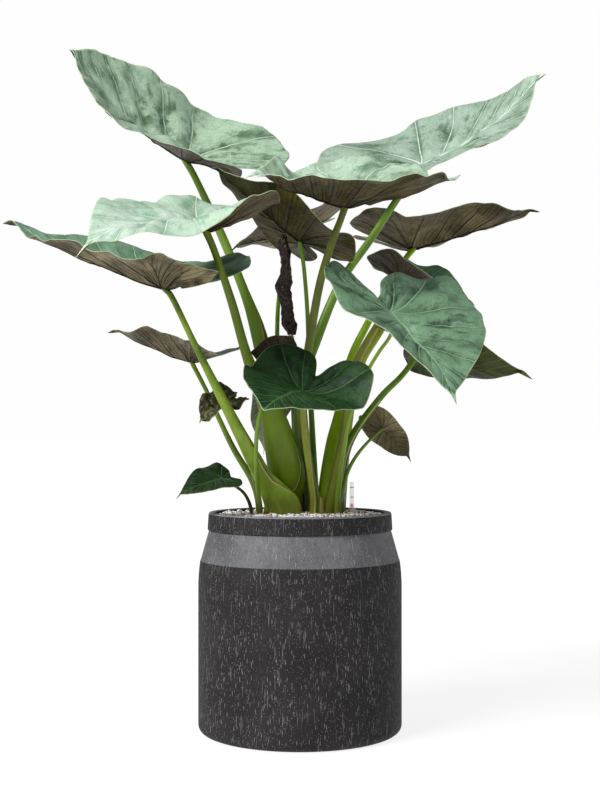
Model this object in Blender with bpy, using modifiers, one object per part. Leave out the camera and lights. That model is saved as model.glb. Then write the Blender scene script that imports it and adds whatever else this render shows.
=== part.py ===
# Potted alocasia wentii: a clump of long-stalked, arrow-shaped leaves growing out of one crown in a turned planter.
# Units are metres, +Z is up, and the origin is the centre of the pot's flat underside.
import math

import bmesh
import bpy
from mathutils import Matrix, Vector

# Pot: the driving sizes of the turned planter.
POT_HEIGHT = 0.462
POT_RADIUS = 0.215
POT_FOOT_RADIUS = 0.198
POT_FOOT_FILLET = 0.017
POT_SHOULDER_Z = 0.296
BAND_LOW_Z = 0.360
BAND_LOW_RADIUS = 0.211
BAND_TOP_Z = 0.424
BAND_TOP_RADIUS = 0.1925
RIM_RADIUS = 0.193
RIM_FOOT_RADIUS = 0.1955
RIM_EDGE = 0.003
RIM_LIP = 0.015
POT_WALL = 0.016
POT_FLOOR = 0.018
POT_STEPS = 40

# Filling: growing medium with the crown in a pocket, and the granules on top of both.
GAP = 0.0003
TOPPING_Z = 0.457
CROWN_TOP_Z = 0.4367
CROWN_DEPTH = 0.085
CROWN_CENTRE = Vector((0.002, 0.055, 0.0))
CROWN_RADII = (0.122, 0.094)
TOPPING_RINGS = 7
TOPPING_STEPS = 40
TOPPING_BUMP = 0.0022
HOLE_CLEARANCE = 0.0006

# Water gauge beside the clump.
GAUGE_PLACE = Vector((0.114, 0.105, 0.0))
GAUGE_TOP_Z = 0.521
GAUGE_RADIUS = 0.0054
GAUGE_BORE = 0.0040
GAUGE_CAP = 0.0015
FLOAT_HEIGHT = 0.009
FLOAT_RADIUS = 0.0034
FOOT_HEIGHT = 0.006
FOOT_RADII = (0.011, 0.0075)
SHAFT_RADIUS = 0.0075
SHAFT_BOTTOM_Z = 0.06

# Blades: how finely an open leaf is divided, and how thick it is.
BLADE_THICKNESS = 0.0009
HALF_COLUMNS = 12
LARGE_RINGS = (0.0, 0.055, 0.34, 0.68, 1.0)
SMALL_RINGS = (0.0, 0.12, 0.60, 1.0)
SMALL_HALF_WIDTH = 0.07
FOLD_SOFTNESS = 0.012
FOLD_AHEAD = 0.55
FOLD_BEHIND = 0.80
NOTCH = 0.28
FULLER_FROM = 0.3
STOUT_SIDES = 8
THIN_SIDES = 6
THIN_STALK = 0.0095

# Half the outline of a leaf from tip to notch: along the midrib in units of the front length (or of the lobe length
# behind the stalk), and across it in units of the half width.
HALF_OUTLINE = (
    (1.00, 0.00), (0.94, 0.05), (0.84, 0.22), (0.69, 0.48), (0.50, 0.72), (0.27, 0.90), (0.02, 1.00),
    (-0.30, 1.00), (-0.62, 0.90), (-0.88, 0.68), (-1.00, 0.42), (-0.84, 0.16), (-0.28, 0.00),
)

# Each open leaf: where the stalk meets the blade, where the tip ends, half width, length of the back lobes, depth of
# the notch in lobe lengths and how full the outline is towards the tip (below 1.0 is fuller) where they differ from
# the rest, lean of the blade round its midrib (left side up), rise of the halves from the midrib, rise of the lobes
# behind the stalk (degrees), bow of the midrib, height of the edge waves and their phase, twist of the front out to
# the tip (degrees), and the stalk's stations from crown to blade as x, y, z, half width and half depth. A pair holds
# the right and the left half; the rise of a half may change from its tip to the stalk and on into the lobe.
LEAVES = {
    "a": dict(
        attach=(-0.256, 0.160, 1.239), tip=(-0.494, 0.040, 1.452),
        half_width=(0.192, 0.178), lobe=(0.190, 0.105), full=0.5,
        roll=-38, fold=((28, 25), (5, 30, 16)), lift=22, bow=-0.022, wave=0.010, phase=0.4, twist=0,
        stalk=[(-0.034, 0.088, 0.437, 0.016, 0.014), (-0.034, 0.086, 0.470, 0.017, 0.014),
               (-0.042, 0.068, 0.580, 0.020, 0.012), (-0.056, 0.054, 0.700, 0.021, 0.011),
               (-0.090, 0.072, 0.845, 0.017, 0.009), (-0.122, 0.098, 0.938, 0.0105, 0.0085),
               (-0.173, 0.130, 1.065, 0.0098, 0.0085), (-0.229, 0.153, 1.188, 0.0075, 0.0075)],
    ),
    "b": dict(
        attach=(-0.189, -0.140, 1.036), tip=(-0.402, -0.380, 0.971),
        half_width=(0.172, 0.160), lobe=(0.172, 0.150), full=1.0,
        roll=-6, fold=((20, 22), (-16, 26)), lift=30, bow=0.032, wave=0.009, phase=2.0, twist=0,
        stalk=[(-0.038, 0.046, 0.437, 0.0300, 0.0160), (-0.036, 0.044, 0.470, 0.0340, 0.0180),
               (-0.028, 0.026, 0.530, 0.0400, 0.0240), (-0.038, 0.002, 0.590, 0.0360, 0.0210),
               (-0.064, -0.018, 0.683, 0.0240, 0.0130), (-0.107, -0.044, 0.779, 0.0115, 0.0100),
               (-0.140, -0.090, 0.897, 0.0088, 0.0088), (-0.172, -0.130, 0.994, 0.0072, 0.0072)],
    ),
    "c": dict(
        attach=(-0.279, -0.060, 0.928), tip=(-0.645, 0.100, 1.091),
        half_width=0.150, lobe=(0.150, 0.145),
        roll=-4, fold=((27, 27), (18, 28, 16)), lift=24, bow=-0.012, wave=0.009, phase=1.1, twist=0,
        stalk=[(-0.0380, 0.0060, 0.437, 0.0390, 0.0100), (-0.0390, 0.0040, 0.475, 0.0390, 0.0120),
               (-0.056, -0.008, 0.505, 0.0290, 0.0120), (-0.079, -0.022, 0.540, 0.0200, 0.0100),
               (-0.100, -0.038, 0.580, 0.0170, 0.0100), (-0.139, -0.062, 0.656, 0.0120, 0.0100),
               (-0.211, -0.072, 0.799, 0.0070, 0.0075), (-0.262, -0.066, 0.904, 0.0062, 0.0062)],
    ),
    "d": dict(
        attach=(-0.237, 0.100, 0.784), tip=(-0.423, 0.170, 0.864),
        half_width=0.100, lobe=(0.100, 0.075),
        roll=4, fold=((22, 24), (34, 30, 0)), lift=30, bow=-0.006, wave=0.005, phase=0.2, twist=0,
        stalk=[(-0.088, 0.068, 0.437, 0.0075, 0.0075), (-0.090, 0.066, 0.480, 0.0075, 0.0075),
               (-0.104, 0.058, 0.528, 0.0075, 0.0070), (-0.142, 0.055, 0.592, 0.0065, 0.0065),
               (-0.172, 0.066, 0.652, 0.0055, 0.0055), (-0.205, 0.086, 0.722, 0.0048, 0.0048)],
    ),
    "e": dict(
        attach=(0.000, 0.085, 1.045), tip=(-0.180, -0.026, 1.190),
        half_width=(0.100, 0.125), lobe=(0.070, 0.106),
        roll=7, fold=((14, 10), (14, 2)), lift=6, bow=-0.004, wave=0.007, phase=0.9, twist=0,
        stalk=[(0.036, 0.120, 0.437, 0.0085, 0.0085), (0.035, 0.120, 0.480, 0.0080, 0.0080),
               (0.021, 0.112, 0.750, 0.0056, 0.0056), (0.017, 0.102, 0.879, 0.0048, 0.0048),
               (0.009, 0.090, 0.985, 0.0044, 0.0044)],
    ),
    "f": dict(
        attach=(0.2756, 0.240, 1.2435), tip=(0.551, 0.200, 1.451),
        half_width=(0.180, 0.165), lobe=0.200, full=0.85,
        roll=32, fold=((4, 18), (16, 18)), lift=10, bow=-0.030, wave=0.010, phase=0.0, twist=0,
        stalk=[(0.0040, 0.0940, 0.437, 0.0150, 0.0130), (0.0030, 0.0920, 0.480, 0.0150, 0.0130),
               (-0.0010, 0.0660, 0.620, 0.0140, 0.0110), (0.0060, 0.0460, 0.740, 0.0120, 0.0100),
               (0.0370, 0.0560, 0.834, 0.0110, 0.0095), (0.0880, 0.0940, 0.956, 0.0092, 0.0090),
               (0.1550, 0.1260, 1.055, 0.0084, 0.0084), (0.2150, 0.1540, 1.148, 0.0078, 0.0078)],
    ),
    "g": dict(
        attach=(0.092, -0.100, 1.091), tip=(-0.100, -0.200, 1.141),
        half_width=0.165, lobe=0.210,
        roll=-18, fold=((12, 27), (36, 27)), lift=26, bow=-0.004, wave=0.009, phase=2.6, twist=-36,
        stalk=[(0.0225, 0.0560, 0.437, 0.0120, 0.0120), (0.0225, 0.0580, 0.480, 0.0120, 0.0120),
               (0.0190, 0.0550, 0.535, 0.0115, 0.0115), (0.0100, 0.0300, 0.600, 0.0115, 0.0100),
               (0.0030, -0.0020, 0.690, 0.0105, 0.0095), (0.0110, -0.0120, 0.760, 0.0095, 0.0090),
               (0.0380, -0.0700, 0.923, 0.0085, 0.0085), (0.0640, -0.0940, 1.015, 0.0078, 0.0078),
               (0.0820, -0.0990, 1.062, 0.0070, 0.0070)],
    ),
    "h": dict(
        attach=(0.177, -0.200, 0.868), tip=(0.282, -0.420, 0.702),
        half_width=(0.112, 0.176), lobe=(0.190, 0.130), notch=0.36, full=0.85,
        roll=-3, fold=((16, 4), (20, 18)), lift=5, bow=0.006, wave=0.006, phase=1.4, twist=0,
        stalk=[(0.064, 0.020, 0.437, 0.0130, 0.0120), (0.065, 0.018, 0.480, 0.0125, 0.0110),
               (0.090, -0.006, 0.608, 0.0100, 0.0095), (0.101, -0.022, 0.690, 0.0088, 0.0088),
               (0.116, -0.040, 0.771, 0.0080, 0.0080), (0.155, -0.120, 0.845, 0.0072, 0.0072)],
    ),
    "i": dict(
        attach=(0.228, 0.080, 0.953), tip=(0.372, 0.050, 0.913),
        half_width=0.100, lobe=0.095,
        roll=-2, fold=((10, 30), (48, 40)), lift=20, bow=0.006, wave=0.005, phase=2.2, twist=0,
        stalk=[(0.090, 0.100, 0.437, 0.0110, 0.0105), (0.091, 0.098, 0.480, 0.0105, 0.0105),
               (0.102, 0.080, 0.614, 0.0090, 0.0088), (0.113, 0.048, 0.698, 0.0078, 0.0078),
               (0.132, 0.020, 0.778, 0.0073, 0.0073), (0.169, 0.022, 0.840, 0.0066, 0.0066),
               (0.212, 0.062, 0.912, 0.0058, 0.0058)],
    ),
    "j": dict(
        attach=(0.006, -0.137, 0.714), tip=(-0.068, -0.277, 0.678),
        half_width=(0.125, 0.134), lobe=0.132, full=0.62, notch=0.5,
        roll=-20, fold=((8, 8), (0, 8, 16)), lift=46, bow=0.010, wave=0.006, phase=0.6, twist=0,
        stalk=[(0.033, 0.012, 0.437, 0.0155, 0.0110), (0.034, 0.010, 0.480, 0.0120, 0.0100),
               (0.025, -0.008, 0.530, 0.0085, 0.0085), (0.015, -0.032, 0.594, 0.0080, 0.0080),
               (0.008, -0.060, 0.650, 0.0070, 0.0070), (0.006, -0.085, 0.682, 0.0060, 0.0060)],
    ),
    "k": dict(
        attach=(0.2637, 0.290, 1.0573), tip=(0.5495, 0.270, 1.1474),
        half_width=0.150, lobe=0.145,
        roll=-8, fold=16, lift=32, bow=-0.004, wave=0.010, phase=1.8, twist=0,
        stalk=[(0.058, 0.068, 0.437, 0.0200, 0.0170), (0.058, 0.068, 0.500, 0.0190, 0.0160),
               (0.070, 0.080, 0.600, 0.0150, 0.0130), (0.087, 0.094, 0.676, 0.0110, 0.0100),
               (0.110, 0.100, 0.786, 0.0090, 0.0090), (0.146, 0.110, 0.864, 0.0080, 0.0080),
               (0.206, 0.190, 0.970, 0.0072, 0.0072), (0.242, 0.255, 1.028, 0.0066, 0.0066)],
    ),
    "l": dict(
        attach=(-0.019, 0.350, 1.094), tip=(-0.159, 0.290, 1.064),
        half_width=0.125, lobe=0.165,
        roll=14, fold=12, lift=26, bow=0.006, wave=0.007, phase=0.3, twist=0,
        stalk=[(-0.056, 0.114, 0.437, 0.0075, 0.0075), (-0.056, 0.116, 0.480, 0.0070, 0.0070),
               (-0.049, 0.124, 0.680, 0.0058, 0.0058), (-0.051, 0.144, 0.839, 0.0050, 0.0050),
               (-0.046, 0.210, 0.950, 0.0048, 0.0048), (-0.024, 0.315, 1.055, 0.0046, 0.0046)],
    ),
    "m": dict(
        attach=(0.260, 0.090, 0.803), tip=(0.498, 0.100, 0.762),
        half_width=(0.100, 0.078), lobe=(0.055, 0.036),
        roll=-30, fold=((16, 10), (5, 5)), lift=34, bow=-0.016, wave=0.006, phase=1.0, twist=0,
        stalk=[(0.0870, 0.0520, 0.437, 0.0110, 0.0110), (0.0860, 0.0500, 0.480, 0.0105, 0.0100),
               (0.103, 0.028, 0.601, 0.0088, 0.0084), (0.168, 0.040, 0.699, 0.0072, 0.0072),
               (0.220, 0.066, 0.752, 0.0062, 0.0062)],
    ),
    "n": dict(
        attach=(0.179, 0.080, 0.637), tip=(0.237, 0.080, 0.578),
        half_width=0.037, lobe=0.056, full=0.6, notch=0.85,
        roll=-70, fold=8, lift=8, bow=0.003, wave=0.002, phase=1.0, twist=0,
        stalk=[(0.0845, 0.024, 0.437, 0.0046, 0.0046), (0.0850, 0.024, 0.475, 0.0046, 0.0046),
               (0.0930, 0.022, 0.515, 0.0044, 0.0044), (0.1030, 0.018, 0.549, 0.0042, 0.0042),
               (0.1210, 0.030, 0.580, 0.0038, 0.0038), (0.1450, 0.045, 0.608, 0.0034, 0.0034),
               (0.1660, 0.064, 0.626, 0.0030, 0.0030)],
    ),
    "o": dict(
        attach=(-0.162, -0.050, 0.535), tip=(-0.248, -0.120, 0.503),
        half_width=0.047, lobe=0.034, notch=0.75,
        roll=-32, fold=16, lift=14, bow=0.004, wave=0.002, phase=0.5, twist=0,
        stalk=[(-0.104, 0.026, 0.437, 0.0042, 0.0042), (-0.105, 0.024, 0.468, 0.0040, 0.0040),
               (-0.116, -0.002, 0.498, 0.0034, 0.0034), (-0.134, -0.028, 0.516, 0.0030, 0.0030),
               (-0.152, -0.042, 0.524, 0.0027, 0.0027)],
    ),
    "p": dict(
        attach=(-0.158, 0.010, 0.691), tip=(-0.212, -0.020, 0.650),
        half_width=0.050, lobe=0.052,
        roll=-30, fold=24, lift=30, bow=0.010, wave=0.010, phase=0.8, twist=0,
        stalk=[(-0.089, 0.038, 0.437, 0.0055, 0.0055), (-0.090, 0.037, 0.480, 0.0055, 0.0055),
               (-0.104, 0.020, 0.560, 0.0050, 0.0050), (-0.134, 0.012, 0.630, 0.0042, 0.0042),
               (-0.150, 0.012, 0.668, 0.0036, 0.0036)],
    ),
    "q": dict(
        attach=(-0.056, 0.210, 0.706), tip=(-0.082, 0.170, 0.588),
        half_width=0.060, lobe=0.050,
        roll=0, fold=10, lift=10, bow=0.004, wave=0.003, phase=1.3, twist=0,
        stalk=[(-0.022, 0.126, 0.437, 0.0048, 0.0048), (-0.022, 0.128, 0.480, 0.0046, 0.0046),
               (-0.026, 0.170, 0.580, 0.0040, 0.0040), (-0.042, 0.206, 0.670, 0.0034, 0.0034)],
    ),
    "r": dict(
        attach=(-0.040, 0.008, 0.795), tip=(-0.108, 0.010, 0.800),
        half_width=0.044, lobe=0.034,
        roll=62, fold=10, lift=10, bow=0.002, wave=0.003, phase=0.4, twist=0,
        stalk=[(-0.084, -0.014, 0.437, 0.0050, 0.0050), (-0.086, -0.020, 0.480, 0.0048, 0.0048),
               (-0.091, -0.058, 0.560, 0.0046, 0.0046), (-0.088, -0.074, 0.640, 0.0044, 0.0044),
               (-0.072, -0.070, 0.700, 0.0042, 0.0042), (-0.050, -0.044, 0.742, 0.0040, 0.0040),
               (-0.040, -0.014, 0.768, 0.0038, 0.0038)],
    ),
    "t": dict(
        attach=(0.183, -0.170, 0.829), tip=(0.250, -0.215, 0.797),
        half_width=0.040, lobe=0.026,
        roll=0, fold=12, lift=16, bow=0.003, wave=0.002, phase=0.1, twist=0,
        stalk=[(0.0790, -0.0120, 0.437, 0.0060, 0.0060), (0.0790, -0.0140, 0.480, 0.0058, 0.0058),
               (0.0860, -0.0400, 0.560, 0.0050, 0.0050), (0.0985, -0.0700, 0.645, 0.0044, 0.0044),
               (0.1170, -0.0900, 0.704, 0.0042, 0.0042), (0.1360, -0.1120, 0.752, 0.0040, 0.0040),
               (0.1590, -0.1400, 0.792, 0.0038, 0.0038), (0.1750, -0.1600, 0.814, 0.0036, 0.0036)],
    ),
}

# The dry leaf: rolled round itself and dark, standing on its own stalk with a green bract at its foot.
DRY_ROLL = [
    (-0.020, 0.062, 0.841, 0.0095, 0.0080, 0.3), (-0.022, 0.062, 0.862, 0.0190, 0.0100, 0.5),
    (-0.026, 0.062, 0.885, 0.0160, 0.0095, 0.9), (-0.028, 0.062, 0.910, 0.0175, 0.0100, 1.1),
    (-0.034, 0.061, 0.938, 0.0230, 0.0095, 0.9), (-0.032, 0.061, 0.960, 0.0190, 0.0090, 0.7),
    (-0.029, 0.060, 0.985, 0.0135, 0.0090, 1.0), (-0.032, 0.060, 1.020, 0.0145, 0.0080, 1.3),
    (-0.035, 0.060, 1.045, 0.0105, 0.0065, 1.5), (-0.034, 0.060, 1.058, 0.0050, 0.0045, 1.6),
]
DRY_TURNS = 1.18
DRY_COLUMNS = 14
DRY_INNER = 0.45
DRY_STALK = [
    (-0.004, 0.124, 0.437, 0.0075, 0.0075), (-0.005, 0.122, 0.480, 0.0075, 0.0075),
    (-0.014, 0.090, 0.700, 0.0065, 0.0065), (-0.018, 0.070, 0.800, 0.0065, 0.0060),
    (-0.019, 0.064, 0.822, 0.0088, 0.0066), (-0.020, 0.062, 0.8402, 0.0055, 0.0050),
]

# A short pointed bract at the front of the clump.
BRACT = [
    (0.047, -0.014, 0.437, 0.0055, 0.0040), (0.046, -0.015, 0.470, 0.0050, 0.0035), (0.044, -0.016, 0.494, 0.0014, 0.0012),
]

# Colours as red, green, blue, then roughness.
CHARCOAL = (0.028, 0.026, 0.025, 0.85)
MEDIUM = (0.045, 0.030, 0.020, 0.95)
GRANULES = (0.62, 0.56, 0.52, 0.90)
CROWN_GREEN = (0.16, 0.19, 0.06, 0.60)
CLEAR_PLASTIC = (0.80, 0.80, 0.80, 0.25)
FLOAT_RED = (0.60, 0.05, 0.03, 0.40)
WHITE_PLASTIC = (0.75, 0.75, 0.74, 0.45)
LEAF_GREEN = (0.10, 0.22, 0.14, 0.50)
DARK_GREEN = (0.02, 0.06, 0.03, 0.45)
UNDERSIDE_BROWN = (0.09, 0.08, 0.05, 0.60)
STALK_GREEN = (0.12, 0.24, 0.03, 0.45)
DRY_BROWN = (0.02, 0.010, 0.008, 0.70)
DARK_LEAVES = "jop"
BROWN_LEAVES = "ednqrlmk"


def clear_scene():
    for old in list(bpy.data.objects):
        bpy.data.objects.remove(old, do_unlink=True)


def new_collection(name):
    made = bpy.data.collections.new(name)
    bpy.context.scene.collection.children.link(made)
    return made


def finish(name, colour):
    """A plain material of the given colour and roughness."""
    made = bpy.data.materials.new(name)
    made.use_nodes = True
    shader = made.node_tree.nodes["Principled BSDF"]
    shader.inputs["Base Color"].default_value = (*colour[:3], 1.0)
    shader.inputs["Roughness"].default_value = colour[3]
    shader.inputs["Metallic"].default_value = 0.0
    return made


def add_mesh(name, bm, collection, material=None, smooth=True):
    bmesh.ops.recalc_face_normals(bm, faces=bm.faces)
    mesh = bpy.data.meshes.new(name)
    bm.to_mesh(mesh)
    bm.free()
    if smooth:
        mesh.shade_smooth()
        mesh.set_sharp_from_angle(angle=math.radians(40))
    made = bpy.data.objects.new(name, mesh)
    collection.objects.link(made)
    if material:
        mesh.materials.append(material)
    return made


def turned(name, profile, collection, material, steps, centre=(0.0, 0.0, 0.0)):
    """A closed profile of radius and height, turned round the vertical with a Screw modifier."""
    bm = bmesh.new()
    points = [bm.verts.new((radius, 0.0, height)) for radius, height in profile]
    for first, second in zip(points, points[1:]):
        bm.edges.new((first, second))
    if profile[0][0] > 0.0:
        bm.edges.new((points[-1], points[0]))
    mesh = bpy.data.meshes.new(name)
    bm.to_mesh(mesh)
    bm.free()
    made = bpy.data.objects.new(name, mesh)
    collection.objects.link(made)
    made.location = centre
    mesh.materials.append(material)
    screw = made.modifiers.new("Turn", "SCREW")
    screw.axis = "Z"
    screw.steps = steps
    screw.render_steps = steps
    screw.use_merge_vertices = True
    screw.merge_threshold = 0.0001
    screw.use_smooth_shade = True
    return made


def cut(target, cutter):
    """Takes the cutter's shape out of the target."""
    boolean = target.modifiers.new("Cut", "BOOLEAN")
    boolean.operation = "DIFFERENCE"
    boolean.solver = "EXACT"
    boolean.object = cutter
    cutter.hide_render = True
    cutter.display_type = "WIRE"


def smooth_curve(stations, parts):
    """Points on a Catmull-Rom curve through the stations, with so many parts between each two."""
    rows = [Vector(row) for row in stations]
    rows = [2.0 * rows[0] - rows[1]] + rows + [2.0 * rows[-1] - rows[-2]]
    points = []
    for index in range(1, len(rows) - 2):
        before, start, end, after = rows[index - 1:index + 3]
        for part in range(parts):
            t = part / parts
            points.append(0.5 * (
                2.0 * start + (end - before) * t + (2.0 * before - 5.0 * start + 4.0 * end - after) * t ** 2
                + (3.0 * start - before - 3.0 * end + after) * t ** 3
            ))
    points.append(rows[-2])
    return points


def ring_frame(along):
    """The two directions across a stalk that runs along the given direction: sideways, and front to back."""
    along = along.normalized()
    side = (Vector((1.0, 0.0, 0.0)) - along * along.x).normalized()
    return side, along.cross(side)


def lofted(name, rings, collection, material, end_normal=None):
    """A stalk through rings of x, y, z, half width and half depth: a grid that is wrapped round them and capped."""
    last = len(rings) - 1
    frames = []
    for index, ring in enumerate(rings):
        along = Vector(rings[min(index + 1, last)][:3]) - Vector(rings[max(index - 1, 0)][:3])
        if index == 0:
            along = Vector((0.0, 0.0, 1.0))
        if index == last and end_normal is not None:
            along = end_normal
        frames.append((Vector(ring[:3]), *ring_frame(along)))
    sides = THIN_SIDES if rings[0][3] < THIN_STALK else STOUT_SIDES
    bm = bmesh.new()
    bmesh.ops.create_grid(bm, x_segments=sides, y_segments=last, size=1.0)
    for vertex in bm.verts:
        angle = (vertex.co.x + 1.0) * math.pi
        index = round((vertex.co.y + 1.0) / 2.0 * last)
        centre, side, depth = frames[index]
        vertex.co = centre + side * rings[index][3] * math.cos(angle) + depth * rings[index][4] * math.sin(angle)
    bmesh.ops.remove_doubles(bm, verts=bm.verts, dist=1e-6)
    bmesh.ops.holes_fill(bm, edges=bm.edges, sides=sides)
    return add_mesh(name, bm, collection, material)


def both(value):
    """One value for the right half of a leaf and one for the left."""
    return value if isinstance(value, tuple) else (value, value)


class Blade:
    """The form of one open leaf: flat places on it, measured from the stalk, are bent into the leaf's own space."""

    def __init__(self, attach, tip, half_width, lobe, roll, fold, lift, bow, wave, phase, twist, stalk,
                 notch=NOTCH, full=1.0):
        self.attach = Vector(attach)
        chord = Vector(tip) - self.attach
        self.front = chord.length
        self.along = chord.normalized()
        level = (Vector((0.0, 0.0, 1.0)) - self.along * self.along.z).normalized()
        self.up = Matrix.Rotation(math.radians(roll), 3, self.along) @ level
        self.left = self.up.cross(self.along)
        self.half_width = both(half_width)
        self.lobe = both(lobe)
        self.notch = notch * min(self.lobe)
        self.full = full
        self.fold = [[math.radians(angle) for angle in (both(half) + both(half)[-1:])[:3]] for half in both(fold)]
        self.lift = math.radians(lift)
        self.bow = bow
        self.wave = wave
        self.phase = phase
        self.twist = math.radians(twist)
        self.rings = SMALL_RINGS if max(self.half_width) < SMALL_HALF_WIDTH else LARGE_RINGS

    def outline(self, column):
        """The flat place on the edge at a column, from 0 at the notch round the right side, tip and left side."""
        half = 1 if column > HALF_COLUMNS else 0
        length = self.lobe[half]
        rows = []
        for along, across in HALF_OUTLINE:
            ahead = along > FULLER_FROM
            wide = (across ** self.full if ahead else across) * self.half_width[half]
            rows.append((along * (self.front if along > 0.0 else length), wide, 0.0))
        rows[-1] = (-self.notch, 0.0, 0.0)
        along, across, _ = smooth_curve(rows, 1)[abs(column - HALF_COLUMNS)]
        return along, (across if half else -across)

    def fold_at(self, u, v):
        """How steeply each half rises from the midrib: towards the tip, beside the stalk and in the lobe."""
        tip, stem, lobe = self.fold[1 if v > 0.0 else 0]
        ahead = min(max(u / (FOLD_AHEAD * self.front), 0.0), 1.0)
        behind = min(max(-u / (FOLD_BEHIND * max(self.lobe)), 0.0), 1.0)
        return (stem + (tip - stem) * ahead ** 2 * (3.0 - 2.0 * ahead)
                + (lobe - stem) * behind ** 2 * (3.0 - 2.0 * behind))

    def place(self, u, v, reach, step):
        """Where the flat place u along and v across lies in space, for a share of the way out to the edge."""
        bow = 4.0 * self.bow * (u / self.front) * (1.0 - max(u, 0.0) / self.front)
        angle = self.fold_at(u, v)
        fold = math.hypot(v, FOLD_SOFTNESS) - FOLD_SOFTNESS
        back = math.hypot(min(u, 0.0), FOLD_SOFTNESS) - FOLD_SOFTNESS
        wave = self.wave * reach ** 3 * math.sin(1.7 * step + self.phase) * math.sin(math.pi * step / HALF_COLUMNS)
        rise = bow + back * math.sin(self.lift)
        u_flat = u if u > 0.0 else u * math.cos(self.lift)
        turn = Matrix.Rotation(self.twist * (max(u, 0.0) / self.front) ** 2, 3, self.along)
        across = self.left * v * math.cos(angle) + self.up * (fold * math.sin(angle) + wave)
        return self.attach + self.along * u_flat + self.up * rise + turn @ across

    def seat_normal(self):
        """The direction straight up out of the blade where the stalk meets it."""
        slope = 4.0 * self.bow / self.front
        return (self.up - self.along * slope).normalized()


def open_leaf(name, blade, collection, material):
    """The blade as a thin sheet: a grid whose rows are rings out to the edge, closed at the stalk and the notch."""
    columns = 2 * HALF_COLUMNS
    rings = len(blade.rings) - 1
    bm = bmesh.new()
    bmesh.ops.create_grid(bm, x_segments=columns, y_segments=rings, size=1.0)
    for vertex in bm.verts:
        column = round((vertex.co.x + 1.0) / 2.0 * columns)
        ring = round((vertex.co.y + 1.0) / 2.0 * rings)
        edge_u, edge_v = blade.outline(column)
        reach = blade.rings[ring]
        step = abs(column - HALF_COLUMNS)
        vertex.co = blade.place(edge_u * reach, edge_v * reach, reach, step)
    bmesh.ops.remove_doubles(bm, verts=bm.verts, dist=1e-6)
    bmesh.ops.triangulate(bm, faces=bm.faces)
    made = add_mesh(name, bm, collection, material)
    wall = made.modifiers.new("Thickness", "SOLIDIFY")
    wall.thickness = BLADE_THICKNESS
    wall.offset = 0.0
    return made


def stalk_rings(blade, stations):
    """The stalk's rings from the crown to just under the blade, square to the blade at the end."""
    normal = blade.seat_normal()
    tip_radius = stations[-1][3] * 0.85
    drop = BLADE_THICKNESS / 2.0 + GAP
    near = [blade.place(u * blade.front, v * blade.half_width[0], 0.0, 0) for u, v in
            ((0.05, 0.0), (0.0, 0.05), (0.0, -0.05), (-0.05, 0.0))]
    lowest = min((point - blade.attach).dot(normal) for point in near)
    end = blade.attach + normal * (min(lowest, 0.0) - drop)
    neck = end - normal * 2.0 * tip_radius
    rings = smooth_curve([*stations, (*neck, tip_radius, tip_radius), (*end, tip_radius, tip_radius)], 2)
    return [tuple(ring) for ring in rings]


def dry_leaf(name, collection, material):
    """The dry leaf: a sheet rolled round itself a little more than once, of uneven width and turned on its way up."""
    rows = len(DRY_ROLL) - 1
    bm = bmesh.new()
    bmesh.ops.create_grid(bm, x_segments=DRY_COLUMNS, y_segments=rows, size=1.0)
    for vertex in bm.verts:
        share = (vertex.co.x + 1.0) / 2.0
        x, y, z, wide, deep, turn = DRY_ROLL[round((vertex.co.y + 1.0) / 2.0 * rows)]
        angle = turn + share * DRY_TURNS * math.tau
        reach = 1.0 - (1.0 - DRY_INNER) * share
        vertex.co = (x + wide * reach * math.cos(angle), y + deep * reach * math.sin(angle), z)
    bmesh.ops.triangulate(bm, faces=bm.faces)
    made = add_mesh(name, bm, collection, material)
    wall = made.modifiers.new("Thickness", "SOLIDIFY")
    wall.thickness = BLADE_THICKNESS
    wall.offset = 0.0
    return made


def build_pot(collection):
    """The planter, turned: rim, sloped band, straight body with a rounded foot, and the hollow inside."""
    foot = [
        (POT_FOOT_RADIUS + POT_FOOT_FILLET * math.sin(angle), POT_FOOT_FILLET * (1.0 - math.cos(angle)))
        for angle in (math.radians(step) for step in (90, 60, 30, 0))
    ]
    outer = [
        (RIM_RADIUS - RIM_EDGE, POT_HEIGHT), (RIM_RADIUS, POT_HEIGHT - RIM_EDGE), (RIM_FOOT_RADIUS, BAND_TOP_Z + 0.003),
        (BAND_TOP_RADIUS, BAND_TOP_Z), (BAND_LOW_RADIUS, BAND_LOW_Z), (POT_RADIUS - 0.001, BAND_LOW_Z - 0.028),
        (POT_RADIUS, POT_SHOULDER_Z), *foot,
    ]
    inner = [
        (POT_RADIUS - POT_WALL - 0.010, POT_FLOOR), (POT_RADIUS - POT_WALL, POT_FLOOR + 0.012),
        (POT_RADIUS - POT_WALL, POT_SHOULDER_Z), (BAND_LOW_RADIUS - POT_WALL, BAND_LOW_Z),
        (RIM_RADIUS - RIM_LIP, BAND_TOP_Z - 0.010), (RIM_RADIUS - RIM_LIP, POT_HEIGHT - 0.002),
        (RIM_RADIUS - RIM_LIP + 0.002, POT_HEIGHT),
    ]
    profile = [*outer, (0.0, 0.0), (0.0, POT_FLOOR), *inner]
    return turned("pot", profile, collection, finish("pot_charcoal", CHARCOAL), POT_STEPS)


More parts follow.
